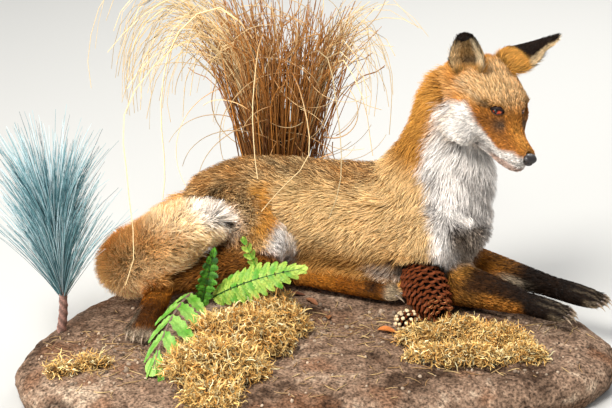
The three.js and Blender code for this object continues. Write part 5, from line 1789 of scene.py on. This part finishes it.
def build_litter(table):
    """Bits of straw and crumbs of stone strewn over the rock, and a few dead leaves."""
    spots = np.vstack([
        np.array(middle) + draw.uniform(-1, 1, (count, 2)) * reach for middle, reach, count in LITTER_FIELDS
    ])
    spots = np.column_stack([spots, np.zeros(len(spots))])
    spots[:, 2] = ground(table, spots)
    spots = spots[spots[:, 2] > LITTER_FLOOR]
    straws = spots[::2]
    turn = draw.uniform(0, 2 * math.pi, len(straws))
    ways = np.stack([np.cos(turn), np.sin(turn), draw.uniform(-0.02, 0.1, len(straws))], 1)
    lines = curls(straws + [0, 0, 0.4], ways, draw.uniform(6, 30, len(straws)), STRAW_STEPS, 0.16)
    lines[:, :, 2] = ground(table, lines.reshape(-1, 3)).reshape(lines.shape[:2]) + 0.5
    lines[:, :, 2] = lines[:, :, 2].max(1, keepdims=True)
    radii = draw.uniform(0.35, 0.8, len(straws))[:, None] * [0.6, 1, 1, 0.8, 0.4]
    tones = mix(srgb(150, 110, 66), STRAW, draw.random(len(straws)))
    colours = np.repeat(tones[:, None], STRAW_STEPS, axis=1)
    low, high = spots.min(0)[:2], spots.max(0)[:2]
    bits = tubes("straw_bits", lines, radii, colours, flat_places(straws, low, high), 4)
    show(bits, "dry_stalks", patterned("straw", 0.7, 400, 0.2))

    parts = []
    for spot in spots[1::2]:
        size = draw.uniform(0.8, 2.8) * (1.8 if draw.random() < 0.06 else 1)
        ball = bmesh.new()
        bmesh.ops.create_icosphere(ball, subdivisions=2, radius=1)
        points = np.array([v.co[:] for v in ball.verts])
        faces = np.array([[v.index for v in f.verts] for f in ball.faces])
        ball.free()
        points *= (1 + 0.25 * noise(points * 3 + spot, 1.4))[:, None] * size * draw.uniform(0.6, 1.2, 3)
        tone = mix(ROCK_PALE, ROCK_DARK, draw.random()) * draw.uniform(0.8, 1.2)
        parts.append((points + spot + [0, 0, size * 0.2], faces, tone))
    stones = joined_mesh("crumbs", parts)
    show(stones, "modelled_rock", patterned("crumb", 0.85, 700, 0.25, bump=0.3, bump_scale=1500))

    rows, columns = 14, 9
    s = np.linspace(0, 1, rows)[:, None]
    c = np.linspace(-1, 1, columns)
    rib = np.tile(peak(c, 0, 0.14), rows)
    parts = []
    for (x, y), heading, length, width, tone in LEAVES:
        broad = width / 2 * np.sin(math.pi * np.clip(s * 0.98 + 0.01, 0, 1)) ** 0.7
        rise = 0.35 * broad * c**2 + 2.5 * np.sin(3 * s + 1) + 1.2
        local = grid_points((s - 0.5) * length, broad * c, rise) @ rotation("z", heading).T
        at = np.array([[x, y, 0.0]])
        shade = mix(tone * (1 + 0.25 * noise(local, 5, 3))[:, None], tone * 0.5, rib * 0.6)
        parts.append((local + at + [0, 0, ground(table, at)[0]], grid_faces(rows, columns), shade))
    show(joined_mesh("dead_leaves", parts), "dry_stalks", patterned("dead_leaf", 0.65, 500, 0.25, bump=0.3))


def build_dressing():
    """The rock and everything that lies or stands on it beside the fox."""
    table = build_base()
    build_moss("moss_left", 33, 25, 1.4, 0.62)
    build_moss("moss_right", 48, 19, 1.4, 0.52)
    build_moss("moss_small", 30, 24, 1.3, 0.5)
    build_cone("cone_large", 150, 15.5, srgb(196, 142, 88))
    build_cone("cone_small", 40, 6, CONE_LIP)
    build_knobs("cone_small", 46, 2.7)
    for name in FERNS:
        build_fern(name)
    build_grass()
    build_pine()
    build_litter(table)


stage()
build_fox()
build_eyes()
build_lids()
build_nose()
build_claws()
build_dressing()
